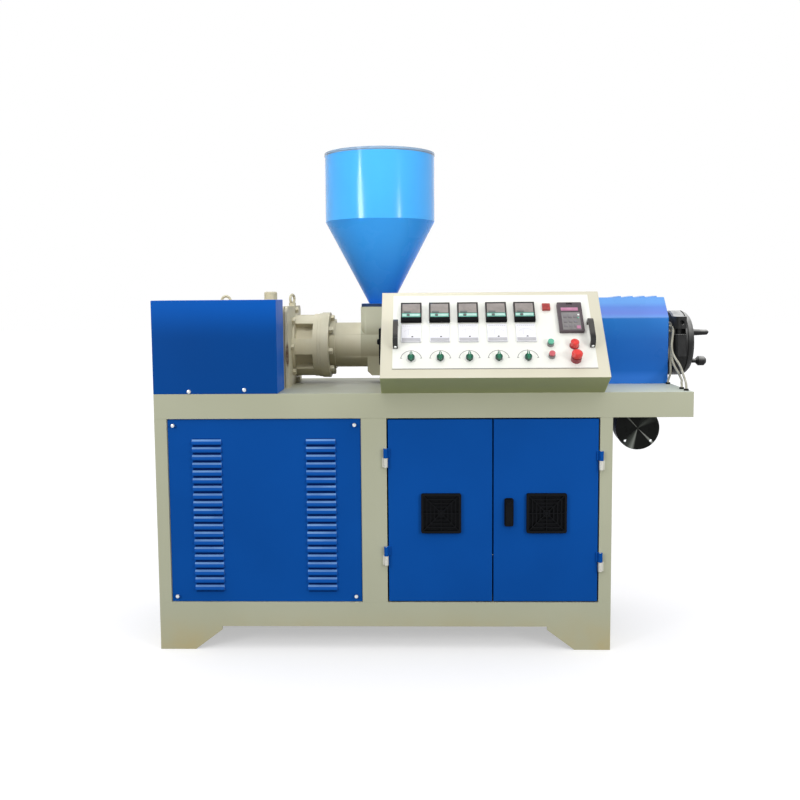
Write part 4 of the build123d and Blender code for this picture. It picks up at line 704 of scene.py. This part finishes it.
for index, (route, length) in enumerate(zip(LEAD_ROUTES, LEAD_LENGTHS), start=1):
    curve = bpy.data.curves.new(f"lead_{index}", "CURVE")
    curve.dimensions = "3D"
    curve.bevel_depth = LEAD_DIAMETER / 2
    curve.bevel_resolution = LEAD_SIDES
    spline = curve.splines.new("NURBS")
    spline.points.add(len(route) - 1)
    for point, place in zip(spline.points, route):
        point.co = (*(lead_start + Vector(place) * MM), 1.0)
    spline.order_u = LEAD_ORDER
    spline.use_endpoint_u = True
    spline.resolution_u = LEAD_STEPS
    curve.materials.append(lead_sleeve.material)
    lead = bpy.data.objects.new(f"lead_{index}", curve)
    bpy.context.collection.objects.link(lead)
    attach(lead, "frame")
    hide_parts(f"heater_lead_{index}")
print("leads hung:", len(LEAD_ROUTES))

# %% [markdown]
# The photograph's background is white and its light comes mostly from overhead, as in a workshop: the
# sloping console is more than twice as bright as the upright panels, and what faces down is dark. So the
# sky is a soft dome that brightens towards the top. The camera, and every reflection, see plain white
# instead: the light path node has one output per kind of ray, which tells them apart.

# %% Sky
SKY_LOW, SKY_HIGH = 0.1, 1.62
WHITE = (1.0, 1.0, 1.0, 1.0)


def seen_share(tree):
    """One where a ray comes from the camera, a reflection or clear glass: these all see the same white."""
    path = tree.nodes.new("ShaderNodeLightPath")
    share = path.outputs["Is Camera Ray"]
    for kind in ("Is Glossy Ray", "Is Transmission Ray"):
        either = tree.nodes.new("ShaderNodeMath")
        either.operation = "MAXIMUM"
        tree.links.new(share, either.inputs[0])
        tree.links.new(path.outputs[kind], either.inputs[1])
        share = either.outputs["Value"]
    return share


bpy.context.scene.view_settings.view_transform = "Standard"
world = bpy.data.worlds.new("workshop_sky")
bpy.context.scene.world = world
world.use_nodes = True
sky = world.node_tree
dome = sky.nodes["Background"]
dome.inputs["Color"].default_value = WHITE
white = sky.nodes.new("ShaderNodeBackground")
white.inputs["Color"].default_value = WHITE
direction = sky.nodes.new("ShaderNodeTexCoord")
split = sky.nodes.new("ShaderNodeSeparateXYZ")
rise = sky.nodes.new("ShaderNodeMapRange")
for socket, number in (("From Min", 0.0), ("From Max", 1.0), ("To Min", SKY_LOW), ("To Max", SKY_HIGH)):
    rise.inputs[socket].default_value = number
choose = sky.nodes.new("ShaderNodeMixShader")
sky.links.new(direction.outputs["Generated"], split.inputs["Vector"])
sky.links.new(split.outputs["Z"], rise.inputs["Value"])
sky.links.new(rise.outputs["Result"], dome.inputs["Strength"])
sky.links.new(seen_share(sky), choose.inputs["Fac"])
sky.links.new(dome.outputs["Background"], choose.inputs[1])
sky.links.new(white.outputs["Background"], choose.inputs[2])
sky.links.new(choose.outputs["Shader"], sky.nodes["World Output"].inputs["Surface"])
print("sky from", SKY_LOW, "at the horizon to", SKY_HIGH, "overhead")

# %% [markdown]
# The floor has the same two faces. To the camera it is pale and glows a little, so that it nearly meets
# the white background and still holds a soft shadow. To the light it is a grey that gives little back,
# because under the console and the deck the photograph is dark.

# %% Floor
FLOOR_SIZE = 60.0
FLOOR_COLOUR, FLOOR_RETURN = "#C4C4C6", "#5E5E5C"
FLOOR_ROUGHNESS, FLOOR_GLOW = 0.9, 0.45

floor_finish = Finish("pale_floor")
floor_finish.fix("Roughness", FLOOR_ROUGHNESS)
floor_finish.fix("Emission Color", WHITE)
floor_seen = seen_share(floor_finish.tree)
floor_finish.wear(floor_finish.blend(floor_seen, linear(FLOOR_RETURN), linear(FLOOR_COLOUR)))
floor_glow = floor_finish.span(floor_seen, 0.0, FLOOR_GLOW, 0.0, 1.0)
floor_finish.join(floor_glow, floor_finish.shader.inputs["Emission Strength"])

floor_mesh = bmesh.new()
bmesh.ops.create_grid(floor_mesh, x_segments=1, y_segments=1, size=FLOOR_SIZE / 2)
floor_data = bpy.data.meshes.new("floor")
floor_mesh.to_mesh(floor_data)
floor_mesh.free()
floor_data.materials.append(floor_finish.material)
floor = bpy.data.objects.new("floor", floor_data)
bpy.context.collection.objects.link(floor)
print("floor laid,", FLOOR_SIZE, "m wide")

# %% [markdown]
# Two upright streaks on the hopper's drum tell where the workshop's windows are. Two tall area lamps
# stand beside the camera at the angles that put their reflections there, one a little higher than the
# other. A third, narrow lamp lifts the hopper alone.

# %% Lamps
STRIP_WIDTH = {-1: 0.46, 1: 0.42}
STRIP_POWER = {-1: 23.0, 1: 22.0}
STRIP_ANGLE = {-1: -35.5, 1: 39.0}
STRIP_HEIGHT = {-1: 1.72, 1: 1.42}
STRIP_LENGTH = 0.9
STRIP_DISTANCE = 3.4
HOPPER_LIGHT_FROM = Vector((-0.2, -1.6, 1.3))
HOPPER_LIGHT_SIZE = 0.8
HOPPER_LIGHT_POWER = 1.6
HOPPER_LIGHT_SPREAD = 30


def hang_lamp(name, power, width, length, place, target):
    """Area lamp at a place, turned to a target."""
    data = bpy.data.lights.new(name, "AREA")
    data.shape = "RECTANGLE"
    data.size = width
    data.size_y = length
    data.energy = power
    lamp = bpy.data.objects.new(name, data)
    bpy.context.collection.objects.link(lamp)
    lamp.location = place
    lamp.rotation_euler = (target - place).to_track_quat("-Z", "Z").to_euler()
    return data


hopper_axis = (hopper_low + hopper_high) / 2
for side in (-1, 1):
    angle = math.radians(STRIP_ANGLE[side])
    target = Vector((hopper_axis.x, hopper_axis.y, STRIP_HEIGHT[side]))
    place = target + Vector((math.sin(angle), -math.cos(angle), 0)) * STRIP_DISTANCE
    hang_lamp("strip", STRIP_POWER[side], STRIP_WIDTH[side], STRIP_LENGTH, place, target)
hopper_light = hang_lamp("hopper_light", HOPPER_LIGHT_POWER, HOPPER_LIGHT_SIZE, HOPPER_LIGHT_SIZE,
                         hopper_axis + HOPPER_LIGHT_FROM, hopper_axis)
hopper_light.spread = math.radians(HOPPER_LIGHT_SPREAD)
print("lamps hung:", len(bpy.data.lights))

# %% [markdown]
# Small parts are turned, hexagonal or boxes with rounded edges. One helper spins a short profile of
# radius and height pairs round an axis: with six steps it gives a bolt head, with many a screw head or a
# button. A second one makes a rounded slab. A third turns a shape into a piece that rides on the body
# that carries it, and a short last one moves a placement within its own plane.

# %% Shape helpers
SMOOTH_ANGLE = math.radians(30)


def turned(shape, profile, steps, place):
    """Spin (radius, height) pairs in millimetres round the placement's up axis."""
    rings = []
    for radius, height in profile:
        if radius == 0:
            rings.append([shape.verts.new(place @ Vector((0, 0, height * MM)))])
            continue
        ring = []
        for step in range(steps):
            angle = 2 * math.pi * step / steps
            point = Vector((radius * math.cos(angle), radius * math.sin(angle), height)) * MM
            ring.append(shape.verts.new(place @ point))
        rings.append(ring)
    for low, high in zip(rings, rings[1:]):
        for step in range(steps):
            face = []
            for ring, index in ((low, step), (low, step + 1), (high, step + 1), (high, step)):
                corner = ring[index % len(ring)]
                if corner not in face:
                    face.append(corner)
            if len(face) > 2:
                shape.faces.new(face)


def slab(shape, size, centre, place, round_by):
    """Box in millimetres with its edges rounded, in a placement."""
    verts = bmesh.ops.create_cube(shape, size=1.0)["verts"]
    bmesh.ops.scale(shape, vec=[length * MM for length in size], verts=verts)
    bmesh.ops.translate(shape, vec=[value * MM for value in centre], verts=verts)
    edges = list({edge for vert in verts for edge in vert.link_edges})
    made = bmesh.ops.bevel(
        shape, geom=edges, offset=round_by * MM, segments=EDGE_SEGMENTS, affect="EDGES", profile=0.5)
    rounded = {vert for face in made["faces"] for vert in face.verts}
    rounded.update(vert for vert in verts if vert.is_valid)
    bmesh.ops.transform(shape, matrix=place, verts=list(rounded))


def keep(name, shape, finish, body="frame"):
    """Turn a shape into a piece that rides on a body."""
    bmesh.ops.recalc_face_normals(shape, faces=shape.faces)
    data = bpy.data.meshes.new(name)
    shape.to_mesh(data)
    shape.free()
    data.materials.append(finish.material)
    data.shade_smooth()
    data.set_sharp_from_angle(angle=SMOOTH_ANGLE)
    piece = bpy.data.objects.new(name, data)
    bpy.context.collection.objects.link(piece)
    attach(piece, body)


def shift(across, up):
    """Move in a placement's own plane, in millimetres."""
    return Matrix.Translation((across * MM, up * MM, 0))


print("shape helpers ready")

# %% [markdown]
# The louvred panel is held by four bright screws, the guard by two, and the blower's cover by four. The
# lantern is bolted to the gearbox face plate and to the feed barrel with two rings of hexagon heads. They
# were painted over with the castings, so they share that finish.

# %% Bolts and screws
AXIS_DEPTH, AXIS_HEIGHT = 410, 1033
PANEL_SCREW_INSET, PANEL_SCREW = 20, (7, 4.5)
GUARD_SCREWS, GUARD_SCREW = ((122, 899), (311, 904)), (7.5, 5)
BLOWER_SCREW_CIRCLE, BLOWER_SCREW = (4, 62, 45), (5, 4)
GEARBOX_BOLT_CIRCLE, GEARBOX_BOLT = (8, 134, 90), (22, 12)
FEED_BOLT_CIRCLE, FEED_BOLT = (8, 104, 100), (22, 16)
SCREW_STEPS, WASHER_STEPS, HEX_STEPS = 20, 24, 6
PAN_PROFILE = ((1, 0), (1, 0.35), (0.82, 0.8), (0.4, 1), (0, 1))
WASHER_SHARE, WASHER_EDGE, WASHER_RISE = 0.56, 0.98, 1.2
HEX_START, HEX_SHOULDER, HEX_CROWN = 1.0, 0.85, 0.46
COVER_RIM = 2


def pan_head(shape, radius, height, place):
    """Domed screw head, whose profile is given in shares of its radius and height."""
    profile = [(radius * across, height * up) for across, up in PAN_PROFILE]
    turned(shape, profile, SCREW_STEPS, place)


def hex_head(shape, across, height, place):
    """Bolt head with a washer face and a chamfered crown."""
    corner = across / math.sqrt(3)
    rim = across * WASHER_SHARE
    washer = ((0, 0), (rim, 0), (rim, WASHER_RISE), (corner * WASHER_EDGE, WASHER_RISE))
    turned(shape, washer, WASHER_STEPS, place)
    crown = (across * HEX_CROWN, height)
    head = ((corner, HEX_START), (corner, height * HEX_SHOULDER), crown, (0, height))
    turned(shape, head, HEX_STEPS, place)


def ring_of(count, radius, first):
    """Offsets of a bolt circle, in millimetres, as (across, up) pairs."""
    for index in range(count):
        angle = math.radians(first + index * 360 / count)
        yield radius * math.cos(angle), radius * math.sin(angle)


screws = bmesh.new()
panel_low, panel_high = corners("louvre_panel")
inset = PANEL_SCREW_INSET * MM
for x in (panel_low.x + inset, panel_high.x - inset):
    for z in (panel_low.z + inset, panel_high.z - inset):
        pan_head(screws, *PANEL_SCREW, aim((x, panel_low.y, z), (0, -1, 0)))
for x, z in GUARD_SCREWS:
    pan_head(screws, *GUARD_SCREW, aim((at(x, 0, 0).x, guard_low.y, z * MM), (0, -1, 0)))
keep("panel_screws", screws, zinc)

cover_screws = bmesh.new()
for across, up in ring_of(*BLOWER_SCREW_CIRCLE):
    place = Vector((blower_middle.x + across * MM, blower_low.y + COVER_RIM * MM, blower_middle.z + up * MM))
    pan_head(cover_screws, *BLOWER_SCREW, aim(place, (0, -1, 0)))
keep("blower_screws", cover_screws, zinc)

bolts = bmesh.new()
lantern_low, lantern_high = corners("lantern")
bolt_rings = (
    (lantern_low.x, GEARBOX_BOLT_CIRCLE, GEARBOX_BOLT),
    (lantern_high.x, FEED_BOLT_CIRCLE, FEED_BOLT),
)
for x, circle, bolt in bolt_rings:
    for across, up in ring_of(*circle):
        place = at(0, AXIS_DEPTH + across, AXIS_HEIGHT + up)
        place.x = x
        hex_head(bolts, *bolt, aim(place, (1, 0, 0)))
keep("drive_bolts", bolts, gearbox_paint)
print("bolts and screws set")

# %% [markdown]
# The console's face lies at a slope, so its small parts are laid out in the face's own axes: to the
# right, up the slope and out of it. A matrix made of those axes does the turning once, and every dial
# after that is placed with two flat numbers, as on a drawing.

# %% Console layout
LIP_RISE = 60
PLATE_LEFT, PLATE_BOTTOM, PLATE_WIDTH = 40, 38, 672
FACE_SHEET = 2
COLUMN_FIRST, COLUMN_PITCH, COLUMNS = 62, 96.3, 5

tilt = math.atan2(FACE_RISE, FACE_RUN)
face_axes = Matrix((
    (1, 0, 0, console_low.x),
    (0, math.cos(tilt), -math.sin(tilt), console_low.y),
    (0, math.sin(tilt), math.cos(tilt), DECK_HIGH.z + LIP_RISE * MM),
    (0, 0, 0, 1),
)) @ shift(PLATE_LEFT, PLATE_BOTTOM)


def on_face(u, v, height=FACE_SHEET):
    """Placement from the plate's corner: millimetres to the right, up the slope and out of it."""
    return face_axes @ Matrix.Translation((u * MM, v * MM, height * MM))


columns = [COLUMN_FIRST + index * COLUMN_PITCH for index in range(COLUMNS)]
print("console face tilted", round(math.degrees(tilt), 2), "degrees")

# %% [markdown]
# Each of the five temperature controllers has a grey glass over its display, a teal film with a wide and
# a narrow pale key, a small light between them, and a black strip along the bottom: partly the bezel's
# lower lip, partly a painted shadow below it. They are thin slabs set into the bezel, one piece for all
# five, because a row of equal parts is easier to keep even when it is made in one loop.

# %% Controllers
CONTROLLER_BASE, CONTROLLER_FLOOR = 199, 14
GLASS = ((61, 41, 2), (0, 49.5, 1))
FILM = ((63, 17, 2), (0, 19, 1))
WIDE_KEY = ((34, 10, 1.4), (12, 19, 2.4))
NARROW_KEY = ((14, 10, 1.4), (-23, 19, 2.4))
LOWER_LIP_AND_SHADOW = ((71, 16, 13), (0, 2, -3.5))
GLASS_MARK = ((24, 8, 2.4), (-14, 33, 1.2))
KEY_LIGHT, KEY_LIGHT_PLACE = ((5, 2), (5, 3.6), (0, 3.9)), (-10, 19)
KEY_ROUND, STRIP_ROUND, MARK_ROUND = 0.6, 0.8, 0.4

glass, film, keys, lip_and_shadow, marks = (bmesh.new() for shape in range(5))
for u in columns:
    place = on_face(u, CONTROLLER_BASE, CONTROLLER_FLOOR)
    slab(glass, *GLASS, place, KEY_ROUND)
    slab(film, *FILM, place, KEY_ROUND)
    slab(keys, *WIDE_KEY, place, KEY_ROUND)
    slab(keys, *NARROW_KEY, place, KEY_ROUND)
    # Black lower lip of the bezel together with the painted shadow below it.
    slab(lip_and_shadow, *LOWER_LIP_AND_SHADOW, place, STRIP_ROUND)
    slab(marks, *GLASS_MARK, place, MARK_ROUND)
    turned(marks, KEY_LIGHT, SCREW_STEPS, place @ shift(*KEY_LIGHT_PLACE))
keep("controller_glass", glass, screen_glass)
keep("controller_film", film, teal_film)
keep("controller_keys", keys, pale_film)
keep("controller_lip_and_shadow", lip_and_shadow, black_plastic)
keep("controller_marks", marks, mark_grey)
print("controllers glazed:", len(columns))

# %% [markdown]
# The ammeters have a faint printed scale: an arc, a needle at rest, a row of marks above, a grey band
# below and a dark screw for the zero. Print has no height, so the arc is a strip of flat faces a fraction
# of a millimetre over the meter's face, just enough not to flicker.

# %% Meters
METER_BASE, METER_FACE, METER_BAND_FACE = 109, 7, 9
METER_ARC, METER_ARC_RISE = (30, 0.7, 40, 140), 24
METER_NEEDLE = ((0.7, 24, 0.3), (-9, 42, 0.2))
METER_MARK, METER_MARK_RISE = (4, 2, 0.3), (68, 0.1)
METER_MARKS, METER_MARK_PITCH = 9, 6.5
METER_BAND = ((62, 13, 0.6), (0, 8, 0.2))
ZERO_SCREW, ZERO_SCREW_PLACE = ((3.2, 0), (3.2, 1.4), (2.2, 2.2), (0, 2.2)), (4, 20)
DOT_STEPS, ARC_STEPS = 16, 24
PRINT_HEIGHT, PRINT_ROUND, BAND_ROUND = 0.15, 0.1, 0.2


def arc_print(shape, radius, width, start, end, place):
    """Flat printed arc."""
    rows = []
    for step in range(ARC_STEPS + 1):
        angle = math.radians(start + (end - start) * step / ARC_STEPS)
        row = []
        for reach in (radius, radius + width):
            point = Vector((reach * math.cos(angle), reach * math.sin(angle), PRINT_HEIGHT)) * MM
            row.append(shape.verts.new(place @ point))
        rows.append(row)
    for low, high in zip(rows, rows[1:]):
        shape.faces.new((low[0], low[1], high[1], high[0]))


faint, bands, dots = (bmesh.new() for shape in range(3))
for u in columns:
    meter = on_face(u, METER_BASE, METER_FACE)
    arc_print(faint, *METER_ARC, meter @ shift(0, METER_ARC_RISE))
    slab(faint, *METER_NEEDLE, meter, PRINT_ROUND)
    for step in range(METER_MARKS):
        across = (step - METER_MARKS // 2) * METER_MARK_PITCH
        slab(faint, METER_MARK, (across, *METER_MARK_RISE), meter, PRINT_ROUND)
    slab(bands, *METER_BAND, on_face(u, METER_BASE, METER_BAND_FACE), BAND_ROUND)
    turned(dots, ZERO_SCREW, DOT_STEPS, meter @ shift(*ZERO_SCREW_PLACE))
keep("meter_scales", faint, print_pale)
keep("meter_bands", bands, band_grey)
keep("meter_screws", dots, print_dark)
print("meters printed:", len(columns))

# %% [markdown]
# Round each selector runs a printed half circle with three ticks, and a white line on the knob points at
# it. The scale stays on the plate and the pointer rides on the knob's own body, so it turns when the knob
# turns. The thin grey line along the plate's lower edge is a painted shadow, made with the scales.

# %% Selector scales
SELECTOR_RISE = 40
SCALE_ARC, SCALE_TICKS = (33, 2.0, 5, 175), (5, 90, 175)
SCALE_TICK = ((7, 2, 0.3), (33, 0, 0.15))
POINTER = ((2.2, 11, 0.8), (0, 8, 22.6))
PLATE_EDGE_SHADOW = ((PLATE_WIDTH, 2, 1), (PLATE_WIDTH / 2, -1, 0.5))

scales = bmesh.new()
for index, u in enumerate(columns, start=1):
    selector = on_face(u, SELECTOR_RISE)
    arc_print(scales, *SCALE_ARC, selector)
    for angle in SCALE_TICKS:
        slab(scales, *SCALE_TICK, selector @ Matrix.Rotation(math.radians(angle), 4, "Z"), PRINT_ROUND)
    pointer = bmesh.new()
    slab(pointer, *POINTER, on_face(u, SELECTOR_RISE, 0), BAND_ROUND)
    keep(f"selector_pointer_{index}", pointer, white_plastic, f"selector_knob_{index}")
# Painted shadow along the face plate's lower edge.
slab(scales, *PLATE_EDGE_SHADOW, on_face(0, 0, 0), BAND_ROUND)
keep("printed_scales", scales, print_grey)
print("selector scales printed:", len(columns))

# %% [markdown]
# The drive's keypad is a dark moulding with a pink display, a grey field of nine keys, a pink stop key, a
# white light and a green mark. Its pieces are again slabs and turned buttons, stacked by tenths of a
# millimetre.

# %% Keypad
KEYPAD_PLACE, KEYPAD_FACE = (560, 145), 14
KEY_FIELD = ((62, 76, 0.8), (42, 44, 0.3))
DISPLAY = ((58, 14, 1.6), (40, 96, 0.6))
STOP_KEY = ((13, 13, 1.8), (64, 16, 1.4))
KEY, KEY_FIRST, KEY_PITCH = (12, 11, 1.6), (22, 22, 1.3), (17, 20)
KEY_ROWS, KEY_COLUMNS, FIELD_ROUND = 3, 3, 0.3
KEYPAD_LIGHT, KEYPAD_LIGHT_PLACE = ((4, 0.5), (4, 1.8), (2.6, 2.8), (0, 3)), (68, 70)
KEYPAD_MARK, KEYPAD_MARK_PLACE = ((3, 0.5), (3, 1.6), (2, 2.4), (0, 2.6)), (66, 58)

keypad = on_face(*KEYPAD_PLACE, KEYPAD_FACE)
field, display, pads, light, mark = (bmesh.new() for shape in range(5))
slab(field, *KEY_FIELD, keypad, FIELD_ROUND)
slab(display, *DISPLAY, keypad, MARK_ROUND)
slab(display, *STOP_KEY, keypad, KEY_ROUND)
for row in range(KEY_ROWS):
    for column in range(KEY_COLUMNS):
        centre = (KEY_FIRST[0] + column * KEY_PITCH[0], KEY_FIRST[1] + row * KEY_PITCH[1], KEY_FIRST[2])
        slab(pads, KEY, centre, keypad, KEY_ROUND)
turned(light, KEYPAD_LIGHT, DOT_STEPS, keypad @ shift(*KEYPAD_LIGHT_PLACE))
turned(mark, KEYPAD_MARK, DOT_STEPS, keypad @ shift(*KEYPAD_MARK_PLACE))
keep("keypad_panel", field, keypad_grey)
keep("keypad_display", display, display_pink)
keep("keypad_keys", pads, key_grey)
keep("keypad_light", light, white_plastic)
keep("keypad_mark", mark, start_plastic)
print("keypad set")

# %% [markdown]
# A few small things are left: the cross lines moulded into the square signal lamp, one bright screw at
# the foot of each bow handle, and a black knob on the fan guard in the console's side wall.

# %% Lamp, handles and vent
LAMP_PLACE, LAMP_FACE = (510, 245), 11
LAMP_LINES = (((23, 1.2, 0.5), (13.5, 13.5, 0.1)), ((1.2, 23, 0.5), (13.5, 13.5, 0.1)))
HANDLE_INSET, HANDLE_BASE, HANDLE_SCREW_HEIGHT, HANDLE_SCREW = 9.5, 83, 12, (5, 3)
VENT_KNOB, VENT_KNOB_RISE = ((8, 0), (10, 1), (10, 6), (7, 9), (0, 9)), 14

lamp_lines = bmesh.new()
for line in LAMP_LINES:
    slab(lamp_lines, *line, on_face(*LAMP_PLACE, LAMP_FACE), PRINT_ROUND)
keep("lamp_lines", lamp_lines, lamp_dark)

handle_screws = bmesh.new()
for u in (HANDLE_INSET, PLATE_WIDTH - HANDLE_INSET):
    foot = on_face(u, HANDLE_BASE, HANDLE_SCREW_HEIGHT)
    pan_head(handle_screws, *HANDLE_SCREW, foot @ Matrix.Rotation(math.radians(90), 4, "X"))
keep("handle_screws", handle_screws, zinc)

vent_low, vent_high = corners("console_vent")
vent_middle = (vent_low + vent_high) / 2
vent_knob = bmesh.new()
knob_place = (vent_low.x, vent_middle.y, vent_middle.z + VENT_KNOB_RISE * MM)
turned(vent_knob, VENT_KNOB, WASHER_STEPS, aim(knob_place, (-1, 0, 0)))
keep("vent_knob", vent_knob, black_plastic)
print("lamp lines, handle screws and vent knob set")
